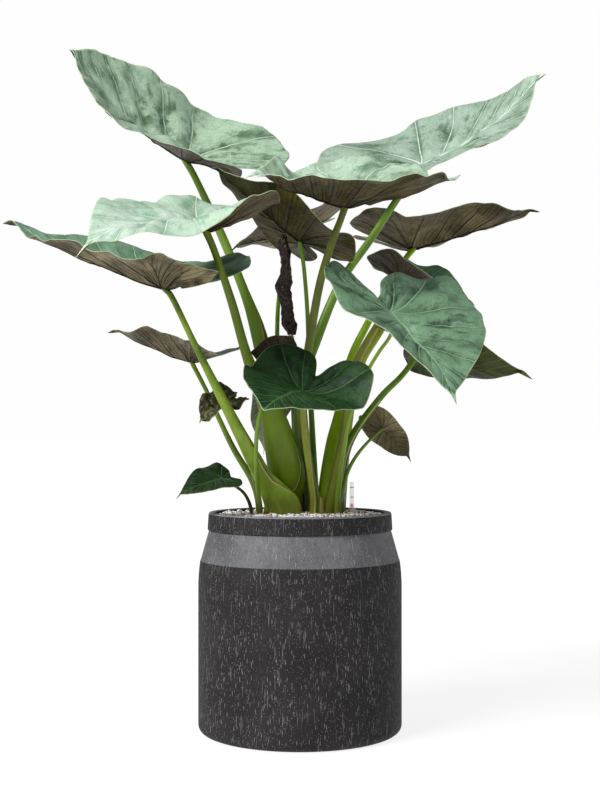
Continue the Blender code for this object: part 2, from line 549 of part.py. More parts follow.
def build_filling(parts, cutters, stalks):
    """Growing medium, the crown in its pocket, and the granule topping with a plain hole for each stalk."""
    top = CROWN_TOP_Z
    low = POT_FLOOR + GAP
    wall = POT_WALL + GAP
    lip = RIM_RADIUS - RIM_LIP - GAP
    profile = [
        (0.0, top), (lip, top), (lip, BAND_TOP_Z - 0.010), (BAND_LOW_RADIUS - wall, BAND_LOW_Z),
        (POT_RADIUS - wall, POT_SHOULDER_Z), (POT_RADIUS - wall, POT_FLOOR + 0.0125),
        (POT_RADIUS - wall - 0.010, low), (0.0, low),
    ]
    medium = turned("substrate", profile, parts, finish("growing_medium", MEDIUM), POT_STEPS)
    pocket = crown_body("crown_pocket", cutters, None, 0.0, 0.01)
    cut(medium, pocket)
    crown_body("root_crown", parts, finish("crown_green", CROWN_GREEN), GAP, 0.0)

    bm = bmesh.new()
    bmesh.ops.create_grid(bm, x_segments=TOPPING_STEPS, y_segments=TOPPING_RINGS, size=1.0)
    for vertex in bm.verts:
        angle = (vertex.co.x + 1.0) * math.pi
        ring = round((vertex.co.y + 1.0) / 2.0 * TOPPING_RINGS)
        radius = lip * ring / TOPPING_RINGS
        x = radius * math.cos(angle)
        y = radius * math.sin(angle)
        bump = math.sin(290.0 * x + 1.7 * math.sin(170.0 * y)) * math.sin(260.0 * y + 2.1 * math.sin(210.0 * x))
        vertex.co = (x, y, TOPPING_Z + TOPPING_BUMP * bump)
    bmesh.ops.remove_doubles(bm, verts=bm.verts, dist=1e-5)
    edge = [item for item in bm.edges if item.is_boundary]
    wall_ring = bmesh.ops.extrude_edge_only(bm, edges=edge)["geom"]
    for item in wall_ring:
        if isinstance(item, bmesh.types.BMVert):
            item.co.z = top + GAP
    bottom = [item for item in wall_ring if isinstance(item, bmesh.types.BMEdge)]
    bmesh.ops.contextual_create(bm, geom=bottom)
    bmesh.ops.triangulate(bm, faces=bm.faces)
    topping = add_mesh("granule_topping", bm, parts, finish("granules", GRANULES))
    for name, rings in stalks.items():
        cut(topping, stalk_hole(f"{name}_hole", rings, cutters))
    return topping


def crown_body(name, collection, material, inset, rise):
    """The short thick stem, a flat-topped oval with a rounded foot, which stands in a pocket of the same form."""
    x, y, _ = CROWN_CENTRE
    rings = []
    for drop, share in ((CROWN_DEPTH - inset, 0.55), (0.060, 0.85), (0.030, 1.0), (-rise, 1.0)):
        wide, deep = (share * radius - inset for radius in CROWN_RADII)
        rings.append((x, y, CROWN_TOP_Z - drop, wide, deep))
    return lofted(name, rings, collection, material)


def stalk_hole(name, rings, collection):
    """A cutter that follows the foot of a stalk, a little wider, from below the granules to above them."""
    wider = [(*ring[:3], ring[3] + HOLE_CLEARANCE, ring[4] + HOLE_CLEARANCE) for ring in rings[:4]]
    foot = wider[0]
    return lofted(name, [(*foot[:2], foot[2] - 0.01, *foot[3:]), *wider], collection, None)


def build_gauge(parts, cutters, medium, topping):
    """The water gauge: a clear tube with a float in it on a flared foot, and its shaft down in the medium."""
    x, y, _ = GAUGE_PLACE
    foot_top = TOPPING_Z + 0.001 + FOOT_HEIGHT
    foot_low = TOPPING_Z - 0.004
    shaft = turned(
        "gauge_shaft",
        [(0.0, foot_low - GAP), (SHAFT_RADIUS, foot_low - GAP), (SHAFT_RADIUS, SHAFT_BOTTOM_Z), (0.0, SHAFT_BOTTOM_Z)],
        parts, finish("gauge_shaft_white", WHITE_PLASTIC), 16, (x, y, 0.0),
    )
    turned(
        "gauge_foot",
        [(0.0, foot_top), (FOOT_RADII[1], foot_top), (FOOT_RADII[0], foot_low + 0.002), (FOOT_RADII[0], foot_low),
         (0.0, foot_low)],
        parts, finish("gauge_foot_white", WHITE_PLASTIC), 16, (x, y, 0.0),
    )
    turned(
        "gauge_tube",
        [(0.0, GAUGE_TOP_Z), (GAUGE_RADIUS, GAUGE_TOP_Z), (GAUGE_RADIUS, foot_top + GAP), (GAUGE_BORE, foot_top + GAP),
         (GAUGE_BORE, GAUGE_TOP_Z - GAUGE_CAP), (0.0, GAUGE_TOP_Z - GAUGE_CAP)],
        parts, finish("gauge_clear", CLEAR_PLASTIC), 16, (x, y, 0.0),
    )
    turned(
        "gauge_float",
        [(0.0, foot_top + GAP + FLOAT_HEIGHT), (FLOAT_RADIUS, foot_top + GAP + FLOAT_HEIGHT),
         (FLOAT_RADIUS, foot_top + GAP), (0.0, foot_top + GAP)],
        parts, finish("gauge_float_red", FLOAT_RED), 12, (x, y, 0.0),
    )
    bore = turned(
        "gauge_bore",
        [(0.0, TOPPING_Z + 0.02), (SHAFT_RADIUS + GAP, TOPPING_Z + 0.02), (SHAFT_RADIUS + GAP, SHAFT_BOTTOM_Z - GAP),
         (0.0, SHAFT_BOTTOM_Z - GAP)],
        cutters, finish("cutter", MEDIUM), 16, (x, y, 0.0),
    )
    seat = turned(
        "gauge_seat",
        [(0.0, TOPPING_Z + 0.02), (FOOT_RADII[0] + GAP, TOPPING_Z + 0.02), (FOOT_RADII[0] + GAP, foot_low - GAP),
         (0.0, foot_low - GAP)],
        cutters, finish("cutter_seat", MEDIUM), 16, (x, y, 0.0),
    )
    cut(medium, bore)
    cut(topping, bore)
    cut(topping, seat)
    return shaft


def main():
    clear_scene()
    parts = new_collection("potted_alocasia_wentii")
    cutters = new_collection("cutters")
    blades = {letter: Blade(**leaf) for letter, leaf in LEAVES.items()}
    stalks = {f"stalk_{letter}": stalk_rings(blades[letter], leaf["stalk"]) for letter, leaf in LEAVES.items()}
    stalks["stalk_dry"] = [tuple(row) for row in smooth_curve(DRY_STALK, 2)]
    normals = {f"stalk_{letter}": blade.seat_normal() for letter, blade in blades.items()}
    stalks["bract"] = BRACT
    normals["stalk_dry"] = normals["bract"] = Vector((0.0, 0.0, 1.0))

    build_pot(parts)
    topping = build_filling(parts, cutters, stalks)
    build_gauge(parts, cutters, bpy.data.objects["substrate"], topping)

    stalk_finish = finish("stalk_green", STALK_GREEN)
    for name, rings in stalks.items():
        lofted(name, rings, parts, stalk_finish, end_normal=normals[name])
    greens = {
        "dark": finish("blade_dark", DARK_GREEN),
        "brown": finish("blade_brown", UNDERSIDE_BROWN),
        "green": finish("blade_green", LEAF_GREEN),
    }
    for letter, blade in blades.items():
        kind = "dark" if letter in DARK_LEAVES else "brown" if letter in BROWN_LEAVES else "green"
        open_leaf(f"blade_{letter}", blade, parts, greens[kind])
    dry_leaf("dry_leaf", parts, finish("dry_brown", DRY_BROWN))


main()
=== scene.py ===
# Potted alocasia wentii: how the planter, the granules, the gauge and every leaf look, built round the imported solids.
import math
import random

import bpy
import numpy as np
from mathutils import Matrix, Vector, noise


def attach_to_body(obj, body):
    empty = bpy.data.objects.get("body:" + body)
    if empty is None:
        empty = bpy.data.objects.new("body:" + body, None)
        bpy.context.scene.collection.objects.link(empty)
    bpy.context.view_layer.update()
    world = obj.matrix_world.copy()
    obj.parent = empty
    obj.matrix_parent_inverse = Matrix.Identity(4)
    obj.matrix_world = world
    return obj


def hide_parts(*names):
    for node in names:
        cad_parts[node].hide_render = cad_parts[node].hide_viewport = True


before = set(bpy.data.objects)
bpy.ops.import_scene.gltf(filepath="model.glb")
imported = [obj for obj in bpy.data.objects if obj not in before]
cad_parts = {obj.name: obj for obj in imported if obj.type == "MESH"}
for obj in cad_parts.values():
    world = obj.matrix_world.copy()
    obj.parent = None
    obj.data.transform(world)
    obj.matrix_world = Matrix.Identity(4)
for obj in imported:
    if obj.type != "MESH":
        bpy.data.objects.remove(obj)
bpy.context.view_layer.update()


# ---- Studio ----
# A white floor that runs out past the view, even light from all round, a large soft lamp above the camera on the left
# and a weaker one on the right. The camera stands level at the height of the lower leaves, seeing the pot's lip.
WHITE = (1.0, 1.0, 1.0, 1.0)
FLOOR_WIDTH = 160.0
FLOOR_GLOW = 0.84
AIR_LIGHT = 0.34
BACKDROP_LIGHT = 0.65
# For each lamp: where it stands, how many degrees wide it is, and how strong.
LAMPS = {
    "key_light": ((-1.85, -1.60, 2.2), 26.0, 3.0),
    "fill_light": ((2.2, -2.0, 1.3), 60.0, 0.06),
}
CAMERA_PLACE = (0.0, -2.86, 0.635)
CAMERA_LENS = 60.75
CAMERA_SHIFT = 0.0375
CAMERA_SIGHT = 300.0


def linear(red, green, blue):
    """A colour given in ordinary screen values, as the shader's own values."""
    shares = (value / 255.0 for value in (red, green, blue))
    return tuple(share / 12.92 if share < 0.04045 else ((share + 0.055) / 1.055) ** 2.4 for share in shares)


class Value:
    """An output of a node. Arithmetic with it adds the node that reckons the result."""

    def __init__(self, socket):
        self.socket = socket
        self.tree = socket.id_data

    def reckon(self, operation, *terms):
        return put(self.tree, "ShaderNodeMath", dict(enumerate(terms)), operation=operation)[0]

    def __add__(self, other):
        return self.reckon("ADD", self, other)

    def __sub__(self, other):
        return self.reckon("SUBTRACT", self, other)

    def __rsub__(self, other):
        return self.reckon("SUBTRACT", other, self)

    def __mul__(self, other):
        return self.reckon("MULTIPLY", self, other)

    def __truediv__(self, other):
        return self.reckon("DIVIDE", self, other)

    def __abs__(self):
        return self.reckon("ABSOLUTE", self)


def put(tree, kind, sockets=None, **settings):
    """Adds a node, each socket with a value or the output that feeds it; gives its outputs by number and name."""
    made = tree.nodes.new(kind)
    for setting, value in settings.items():
        setattr(made, setting, value)
    for socket, value in (sockets or {}).items():
        if isinstance(value, Value):
            tree.links.new(value.socket, made.inputs[socket])
        else:
            made.inputs[socket].default_value = value
    return {key: Value(output) for number, output in enumerate(made.outputs) for key in (number, output.name)}


def tint(amount, first, second):
    """Two colours mixed by an amount."""
    first, second = (colour if isinstance(colour, Value) else (*colour, 1.0) for colour in (first, second))
    return put(amount.tree, "ShaderNodeMix", {0: amount, 6: first, 7: second}, data_type="RGBA")[2]


def grain(place, scale, detail=3.0, rough=0.55, stretch=(1.0, 1.0, 1.0)):
    """Noise between 0 and 1 over a place, stretched where wanted."""
    moved = put(place.tree, "ShaderNodeMapping", {"Vector": place, "Scale": stretch})[0]
    sockets = {"Vector": moved, "Scale": scale, "Detail": detail, "Roughness": rough}
    return put(place.tree, "ShaderNodeTexNoise", sockets)["Fac"]


class Finish:
    """A new material. Roughness and specular level are set on its shader; colour and relief come from nodes."""

    def __init__(self, name, rough, specular=0.5):
        self.material = bpy.data.materials.new(name)
        self.material.use_nodes = True
        self.tree = self.material.node_tree
        self.shader = self.tree.nodes["Principled BSDF"]
        self.shader.inputs["Roughness"].default_value = rough
        self.shader.inputs["Specular IOR Level"].default_value = specular

    def place(self):
        return put(self.tree, "ShaderNodeTexCoord")["Object"]

    def layer(self, name):
        return put(self.tree, "ShaderNodeUVMap", uv_map=name)[0]

    def glow(self, colour, strength):
        self.shader.inputs["Emission Color"].default_value = colour
        self.shader.inputs["Emission Strength"].default_value = strength

    def colour(self, value):
        self.tree.links.new(value.socket, self.shader.inputs["Base Color"])

    def relief(self, height, strength, distance):
        bump = put(self.tree, "ShaderNodeBump", {"Height": height, "Strength": strength, "Distance": distance})[0]
        self.tree.links.new(bump.socket, self.shader.inputs["Normal"])


def clear_selection():
    if bpy.context.object and bpy.context.object.mode != "OBJECT":
        bpy.ops.object.mode_set(mode="OBJECT")
    bpy.ops.object.select_all(action="DESELECT")


clear_selection()
bpy.ops.mesh.primitive_plane_add(size=FLOOR_WIDTH, location=(0.0, 0.0, 0.0))
floor = bpy.context.object
floor.name = "studio_floor"
floor_white = Finish("floor_white", 0.9, 0.1)
floor_white.colour(tint(grain(floor_white.place(), 1.5), linear(120, 120, 120), linear(126, 126, 126)))
floor_white.glow(WHITE, FLOOR_GLOW)
floor.data.materials.append(floor_white.material)

world = bpy.data.worlds.new("studio_air")
bpy.context.scene.world = world
world.use_nodes = True
tree = world.node_tree
for old in list(tree.nodes):
    tree.nodes.remove(old)
seen = put(tree, "ShaderNodeLightPath")["Is Camera Ray"]
air = put(tree, "ShaderNodeBackground", {"Color": WHITE, "Strength": seen * BACKDROP_LIGHT + AIR_LIGHT})[0]
put(tree, "ShaderNodeOutputWorld", {"Surface": air})

for name, (place, spread, strength) in LAMPS.items():
    lamp = bpy.data.lights.new(name, "SUN")
    lamp.angle = math.radians(spread)
    lamp.energy = strength
    holder = bpy.data.objects.new(name, lamp)
    bpy.context.scene.collection.objects.link(holder)
    holder.location = place
    holder.rotation_euler = (-holder.location).to_track_quat("-Z", "Y").to_euler()

camera_data = bpy.data.cameras.new("studio_camera")
camera_data.sensor_fit = "VERTICAL"
camera_data.sensor_height = 36.0
camera_data.lens = CAMERA_LENS
camera_data.shift_y = CAMERA_SHIFT
camera_data.clip_end = CAMERA_SIGHT
camera = bpy.data.objects.new("studio_camera", camera_data)
bpy.context.scene.collection.objects.link(camera)
camera.location = CAMERA_PLACE
camera.rotation_euler = (math.radians(90.0), 0.0, 0.0)
bpy.context.scene.camera = camera
bpy.context.scene.view_settings.view_transform = "Standard"


# ---- Planter ----
# One hollow turned body of fibre-filled clay, cast in a mould: dark charcoal with fine pale scratches that run down it,
# and a smoother grey band below the rim. The rim stands straight up with a softly rounded, rubbed edge.
POT_SIDES = 192
POT_RADIUS = 0.215
FOOT_INSET = 0.012
FOOT_REACH = 0.17
FOOT_TOP = 0.01
STEEP = 0.72
# Scratches and specks: width and height of the place each one has, its size as a share of that, and how many there are.
SCRATCHES = ((0.0031, 0.031, 0.17, 0.8), (0.0034, 0.0085, 0.15, 0.9), (0.0026, 0.095, 0.16, 0.45))
# Rings of the turned body, radius and height, from the foot up the outside, over the lip and down the inside.
POT_OUTSIDE = (
    (0.1980, 0.0000), (0.2020, 0.0005), (0.2065, 0.0023), (0.2102, 0.0050), (0.2128, 0.0085), (0.2144, 0.0125),
    (0.2150, 0.0170), (0.2150, 0.0700), (0.2150, 0.1300), (0.2150, 0.1900), (0.2150, 0.2400), (0.2150, 0.2760),
    (0.2150, 0.2960), (0.2148, 0.3140), (0.2141, 0.3300), (0.2128, 0.3450), (0.2112, 0.3580), (0.2105, 0.3612),
)
POT_BAND = ((0.2092, 0.3640), (0.2050, 0.3790), (0.2004, 0.3955), (0.1962, 0.4105), (0.1928, 0.4225))
POT_RIM = (
    (0.1926, 0.4240), (0.1932, 0.4246), (0.1948, 0.4252), (0.1953, 0.4262), (0.1951, 0.4300), (0.1944, 0.4420),
    (0.1936, 0.4560), (0.1932, 0.4588),
)
POT_LIP = (
    (0.1924, 0.4605), (0.1912, 0.4616), (0.1896, 0.4620), (0.1850, 0.4620), (0.1806, 0.4619), (0.1792, 0.4611),
    (0.1785, 0.4596),
)
POT_INSIDE = (
    (0.1780, 0.4560), (0.1780, 0.4360), (0.1780, 0.4140), (0.1950, 0.3600), (0.1990, 0.2960), (0.1990, 0.0300),
    (0.1968, 0.0220), (0.1890, 0.0180),
)


def ramp(value, low, high, start=0.0, end=1.0):
    """Maps a value smoothly from the range low to high onto start to end."""
    sockets = {"Value": value, "From Min": low, "From Max": high, "To Min": start, "To Max": end}
    return put(value.tree, "ShaderNodeMapRange", sockets, interpolation_type="SMOOTHSTEP")["Result"]


def scaled(colour, factor):
    return tuple(min(1.0, value * factor) for value in colour)


def split(place):
    """The three parts of a place."""
    parts = put(place.tree, "ShaderNodeSeparateXYZ", {"Vector": place})
    return [parts[axis] for axis in "XYZ"]


def spread_out(across, up):
    """A flat place from two values."""
    return put(across.tree, "ShaderNodeCombineXYZ", {"X": across, "Y": up})[0]


def highest(first, second):
    return first.reckon("MAXIMUM", first, second)


def settle(piece, node=None):
    """Lets a finished piece ride on the body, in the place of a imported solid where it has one."""
    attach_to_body(piece, "root")
    if node:
        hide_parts(node)


def edit_all():
    bpy.ops.object.mode_set(mode="EDIT")
    bpy.ops.mesh.select_all(action="SELECT")


def raise_rings(extrude, rings):
    """Extrudes what is selected, the first ring of a turned piece, through all the others."""
    radius, height = rings[0]
    for next_radius, next_height in rings[1:]:
        extrude(TRANSFORM_OT_translate={"value": (0.0, 0.0, next_height - height)})
        grow = next_radius / radius
        bpy.ops.transform.resize(value=(grow, grow, 1.0), center_override=(0.0, 0.0, 0.0))
        radius, height = next_radius, next_height


def face_outward():
    """Turns every face outward and leaves edit mode."""
    bpy.ops.mesh.select_all(action="SELECT")
    bpy.ops.mesh.normals_make_consistent(inside=False)
    bpy.ops.object.mode_set(mode="OBJECT")


def clay_finish(name, ground, patch, scratch, share, rough):
    """Matt clay with scratches that run down it; share is how many of the places for a scratch have one."""
    clay = Finish(name, rough, 0.20)
    place = clay.place()
    base = tint(ramp(grain(place, 9.0, 5.0, 0.6), 0.35, 0.68), ground, patch)
    smear = ramp(grain(place, 110.0, 6.0, 0.72, (1.0, 1.0, 0.35)), 0.44, 0.64)
    base = tint(smear * 0.60, base, scaled(ground, 0.50))
    speck = ramp(grain(place, 620.0, 2.0), 0.35, 0.72)
    base = tint(speck * 0.40, base, scaled(ground, 2.1))
    across, back, height = split(place)
    round_pot = spread_out(across.reckon("ARCTAN2", across, back * -1.0) * POT_RADIUS, height)
    marks = None
    for wide, tall, size, extra in SCRATCHES:
        sockets = {"Vector": round_pot, "Scale": (1.0 / wide, 1.0 / tall, 1.0)}
        sockets = {"Vector": put(clay.tree, "ShaderNodeMapping", sockets)[0], "Scale": 1.0}
        cells = put(clay.tree, "ShaderNodeTexVoronoi", sockets, voronoi_dimensions="2D")
        chosen = put(clay.tree, "ShaderNodeSeparateColor", {"Color": cells["Color"]})[0]
        near = ramp(cells["Distance"], size * 0.5, size * 1.3, 1.0, 0.0)
        one = near * ramp(chosen, 1.0 - share * extra, 1.05 - share * extra * 0.4)
        marks = highest(marks, one) if marks else one
    marks = marks * ramp(grain(round_pot, 34.0, 4.0, 0.6, (1.0, 0.12, 1.0)), 0.34, 0.60, 0.30, 1.0)
    clay.colour(tint(marks, base, scratch))
    clay.relief(grain(place, 240.0, 4.0, 0.6, (1.0, 1.0, 0.3)) - marks * 0.8, 0.5, 0.0012)
    return clay.material


clear_selection()
bpy.ops.mesh.primitive_circle_add(vertices=POT_SIDES, radius=POT_OUTSIDE[0][0], fill_type="NGON")
planter = bpy.context.object
planter.name = "planter"
edit_all()
bpy.ops.mesh.inset(thickness=FOOT_INSET)
bpy.ops.mesh.select_all(action="DESELECT")
bpy.ops.mesh.select_non_manifold(extend=False)
raise_rings(bpy.ops.mesh.extrude_edges_move, (*POT_OUTSIDE, *POT_BAND, *POT_RIM, *POT_LIP, *POT_INSIDE))
bpy.ops.mesh.edge_face_add()
face_outward()
for name, ground, patch, scratch, share, rough in (
    ("planter_charcoal", (40, 38, 38), (26, 24, 24), (140, 139, 138), 0.58, 0.72),
    ("planter_band", (103, 103, 106), (64, 64, 67), (190, 190, 190), 0.24, 0.68),
    ("planter_lip", (118, 120, 124), (104, 106, 110), (150, 150, 150), 0.06, 0.65),
    ("planter_inside", (60, 60, 62), (48, 48, 50), (90, 90, 90), 0.05, 0.85),
):
    colours = (linear(*colour) for colour in (ground, patch, scratch))
    planter.data.materials.append(clay_finish(name, *colours, share, rough))
CHARCOAL, BAND, LIP, INSIDE = range(4)
for face in planter.data.polygons:
    x, y, z = face.center
    inward = face.normal.x * x + face.normal.y * y < 0
    if z > POT_RIM[-1][1] and not (abs(face.normal.z) < STEEP and inward):
        face.material_index = LIP
    elif inward or math.hypot(x, y) < FOOT_REACH:
        face.material_index = INSIDE if z > FOOT_TOP else CHARCOAL
    elif POT_OUTSIDE[-1][1] < z < POT_RIM[0][1]:
        face.material_index = BAND
bpy.ops.object.shade_smooth_by_angle(angle=math.radians(35))
settle(planter, "pot")


# ---- Growing medium and crown ----
# Dark fibrous medium fills the planter, with the short thick crown set in it. Both are under the granules, and keep
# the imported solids' own forms.

def give(node, finish):
    """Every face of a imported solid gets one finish."""
    for slot in bpy.data.objects[node].material_slots:
        slot.link = "OBJECT"
        slot.material = finish.material


medium = Finish("medium_fibre", 0.95, 0.2)
place = medium.place()
crumb = grain(place, 180.0, 6.0, 0.65)
fibre = grain(place, 70.0, 4.0, 0.6, (1.0, 1.0, 4.0))
base = tint(ramp(crumb, 0.35, 0.65), linear(38, 26, 18), linear(78, 58, 42))
medium.colour(tint(ramp(fibre, 0.55, 0.75), base, linear(112, 88, 62)))
medium.relief(crumb, 0.8, 0.003)
give("substrate", medium)

crown = Finish("crown_bark", 0.7, 0.3)
rings = grain(crown.place(), 60.0, 5.0, 0.6, (0.4, 0.4, 3.0))
crown.colour(tint(ramp(rings, 0.35, 0.65), linear(96, 78, 48), linear(120, 128, 66)))
crown.relief(rings, 0.6, 0.002)
give("root_crown", crown)


# ---- Granules ----
# A layer of crushed mineral granules, 3 to 7 mm across, white, cream, pinkish brown and grey, poured loose over the
# medium and lying up against the stalks and the rim.
STONE_COUNT = 3300
STONE_REACH = 0.1760
STONE_FORMS = 4
GOLDEN_TURN = 2.399963
BED_BOTTOM = 0.4372
BED_TOP = 0.4555
BED_RADIUS = 0.1775
BED_STEPS = 96
BED_RINGS = 30
BED_TINT = 0.86
# Where on the scale from 0 to 1 each colour of the granules starts.
STONE_COLOURS = (
    (0.0, (252, 250, 247)), (0.30, (238, 232, 226)), (0.46, (206, 172, 160)), (0.57, (160, 118, 104)),
    (0.67, (150, 148, 148)), (0.75, (232, 228, 224)), (0.83, (78, 62, 58)), (0.91, (254, 253, 251)),
)


def heave(place):
    """How far the bed is raised at a place."""
    return 0.0035 * noise.noise(place * 42.0)


random.seed(11)
noise.seed_set(11)
stone_forms = []
for form in range(STONE_FORMS):
    clear_selection()
    bpy.ops.mesh.primitive_ico_sphere_add(subdivisions=1, radius=1.0)
    stone = bpy.context.object
    edit_all()
    bpy.ops.transform.resize(value=(1.0 + 0.12 * form, 0.86, 0.66 + 0.05 * form))
    bpy.ops.transform.vertex_random(offset=0.22, seed=form + 3)
    bpy.ops.object.mode_set(mode="OBJECT")
    corners = np.array([corner.co[:] for corner in stone.data.vertices])
    stone_forms.append((corners, [tuple(face.vertices) for face in stone.data.polygons]))
    bpy.data.objects.remove(stone)

clear_selection()
middle = (0.0, 0.0, BED_BOTTOM)
bpy.ops.mesh.primitive_circle_add(vertices=BED_STEPS, radius=BED_RADIUS, fill_type="NGON", location=middle)
granules = bpy.context.object
granules.name = "granules"
bpy.ops.object.transform_apply(location=True)
edit_all()
bpy.ops.mesh.extrude_region_move(TRANSFORM_OT_translate={"value": (0.0, 0.0, BED_TOP - BED_BOTTOM)})
for ring in range(BED_RINGS - 1):
    bpy.ops.mesh.inset(thickness=BED_RADIUS / BED_RINGS * 0.98)
face_outward()
bed = granules.data
for corner in bed.vertices:
    if corner.co.z > BED_TOP - 0.001 and math.hypot(corner.co.x, corner.co.y) < BED_RADIUS - 0.0025:
        corner.co.z += heave(corner.co)
points = [np.array([corner.co[:] for corner in bed.vertices])]
faces = [tuple(face.vertices) for face in bed.polygons]
tints = [np.full(len(bed.vertices), BED_TINT)]
count = len(bed.vertices)
for index in range(STONE_COUNT):
    turn = index * GOLDEN_TURN + random.uniform(-0.3, 0.3)
    size = random.uniform(0.0016, 0.0034) * (1.25 if random.random() < 0.12 else 1.0)
    reach = (STONE_REACH - size * 1.1) * math.sqrt((index + 0.5) / STONE_COUNT)
    place = Vector((reach * math.cos(turn), reach * math.sin(turn), BED_TOP))
    place.z = BED_TOP + heave(place) + random.uniform(-0.0006, 0.0016)
    corners, sides = stone_forms[index % STONE_FORMS]
    tilt = Matrix.Rotation(random.uniform(0.0, 6.28), 3, "Z") @ Matrix.Rotation(random.uniform(-0.6, 0.6), 3, "X")
    points.append(corners @ (np.array(tilt).T * size) + np.array(place))
    faces.extend(tuple(corner + count for corner in side) for side in sides)
    tints.append(np.full(len(corners), random.random()))
    count += len(corners)
heap = bpy.data.meshes.new("granules")
heap.from_pydata(np.vstack(points).tolist(), [], faces)
heap.attributes.new("stone_tint", "FLOAT", "POINT").data.foreach_set("value", np.concatenate(tints))
granules.data = heap

stone_mix = Finish("granule_mix", 0.88, 0.3)
steps = stone_mix.tree.nodes.new("ShaderNodeValToRGB")
steps.color_ramp.interpolation = "CONSTANT"
while len(steps.color_ramp.elements) < len(STONE_COLOURS):
    steps.color_ramp.elements.new(1.0)
for element, (start, colour) in zip(steps.color_ramp.elements, STONE_COLOURS):
    element.position = start
    element.color = (*linear(*colour), 1.0)
lot = put(stone_mix.tree, "ShaderNodeAttribute", attribute_name="stone_tint")["Fac"]
stone_mix.tree.links.new(lot.socket, steps.inputs["Fac"])
rough = grain(stone_mix.place(), 700.0, 3.0, 0.6)
dust = ramp(rough, 0.45, 0.80, 0.0, 0.35)
stone_mix.colour(tint(dust, Value(steps.outputs["Color"]), linear(250, 246, 242)))
stone_mix.relief(rough, 0.6, 0.0006)
heap.materials.append(stone_mix.material)
settle(granules, "granule_topping")


# ---- Water gauge ----
# A clear plastic tube, moulded and pushed on a white flared foot whose shaft goes down to the water store. A small red
# float lies at the bottom of it, and two short yellow marks are printed on the front.
GAUGE_X = 0.114
GAUGE_Y = 0.105
CLEARNESS = 0.42
MARK_RADII = (0.00545, 0.00556)
MARK_HEIGHT = 0.0019
MARK_DEPTH = 0.0042
# Rings of each piece, radius and height.
TUBE = (
    (0.0040, 0.4643), (0.0053, 0.4644), (0.0054, 0.4650), (0.0054, 0.5195), (0.0051, 0.5206), (0.0044, 0.5210),
    (0.0008, 0.5210),
)
TUBE_FOOT = (
    (0.0109, 0.4532), (0.0110, 0.4552), (0.0104, 0.4572), (0.0091, 0.4592), (0.0080, 0.4612), (0.0076, 0.4636),
    (0.0070, 0.4640), (0.0010, 0.4640),
)
FLOAT = (
    (0.0024, 0.4643), (0.0033, 0.4650), (0.0034, 0.4660), (0.0034, 0.4715), (0.0030, 0.4728), (0.0018, 0.4733),
    (0.0006, 0.4733),
)


def round_piece(name, profile, sides=32):
    """A closed turned piece on the gauge's axis, from its lowest ring up, extruded ring by ring."""
    clear_selection()
    radius, height = profile[0]
    bpy.ops.mesh.primitive_circle_add(vertices=sides, radius=radius, fill_type="NGON", location=(0.0, 0.0, height))
    made = bpy.context.object
    made.name = name
    bpy.ops.object.transform_apply(location=True)
    edit_all()
    raise_rings(bpy.ops.mesh.extrude_region_move, profile)
    bpy.ops.mesh.select_all(action="SELECT")
    bpy.ops.transform.translate(value=(GAUGE_X, GAUGE_Y, 0.0))
    face_outward()
    bpy.ops.object.shade_smooth_by_angle(angle=math.radians(40))
    return made


def plastic(name, rough, specular, light, dark, fleck, detail=2.0):
    """Plastic with faint flecks in it."""
    made = Finish(name, rough, specular)
    made.colour(tint(grain(made.place(), fleck, detail), linear(*light), linear(*dark)))
    return made


gauge_tube = round_piece("gauge_tube_clear", TUBE)
clear_plastic = Finish("gauge_clear_plastic", 0.30, 0.4)
haze = ramp(grain(clear_plastic.place(), 90.0, 3.0, 0.5, (1.0, 1.0, 0.2)), 0.3, 0.7)
clear_plastic.colour(tint(haze, linear(246, 244, 248), linear(252, 251, 254)))
clear_plastic.shader.inputs["Alpha"].default_value = CLEARNESS
# Painted light: a faint white glow, so that the tube looks as bright as the white seen through it.
clear_plastic.glow(WHITE, 0.22)
gauge_tube.data.materials.append(clear_plastic.material)
settle(gauge_tube, "gauge_tube")

gauge_foot = round_piece("gauge_foot_flared", TUBE_FOOT)
white_plastic = plastic("gauge_white_plastic", 0.42, 0.5, (222, 220, 224), (236, 235, 236), 260.0, 3.0)
white_plastic.relief(grain(white_plastic.place(), 260.0), 0.1, 0.0003)
gauge_foot.data.materials.append(white_plastic.material)
settle(gauge_foot, "gauge_foot")
give("gauge_shaft", white_plastic)

gauge_float = round_piece("gauge_float_body", FLOAT, 20)
float_red = plastic("gauge_float_red", 0.35, 0.5, (236, 58, 34), (214, 40, 26), 300.0)
# Painted light: a faint red glow keeps the float bright where it lies in shade.
float_red.glow((0.75, 0.04, 0.02, 1.0), 0.30)
gauge_float.data.materials.append(float_red.material)
settle(gauge_float, "gauge_float")

inner, outer = MARK_RADII
for name, height in (("gauge_mark_low", 0.4870), ("gauge_mark_high", 0.5082)):
    rings = ((inner, height), (outer, height + 0.0001), (outer, height + 0.0018), (inner, height + MARK_HEIGHT))
    mark = round_piece(name, rings, 48)
    edit_all()
    front = (GAUGE_X, GAUGE_Y - MARK_DEPTH, height)
    bpy.ops.mesh.bisect(plane_co=front, plane_no=(0.0, 1.0, 0.0), clear_outer=True, use_fill=True)
    bpy.ops.object.mode_set(mode="OBJECT")
    mark_yellow = plastic("gauge_mark_yellow", 0.5, 0.4, (226, 178, 60), (210, 160, 48), 400.0)
    mark.data.materials.clear()
    mark.data.materials.append(mark_yellow.material)
    settle(mark)


# ---- Leaves: their places and forms ----
# Each leaf is one blade, shaped like an arrowhead with two round back lobes, on one long stalk that widens into a
# sheath at the crown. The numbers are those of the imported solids, with lengths in millimetres and angles in degrees.
HALF_COLUMNS = 12
EDGE_PLACES = 241
FOLD_SOFTNESS = 0.012
HALF_OUTLINE = np.array((
    (1.00, 0.00), (0.94, 0.05), (0.84, 0.22), (0.69, 0.48), (0.50, 0.72), (0.27, 0.90), (0.02, 1.00),
    (-0.30, 1.00), (-0.62, 0.90), (-0.88, 0.68), (-1.00, 0.42), (-0.84, 0.16), (-0.28, 0.00),
))
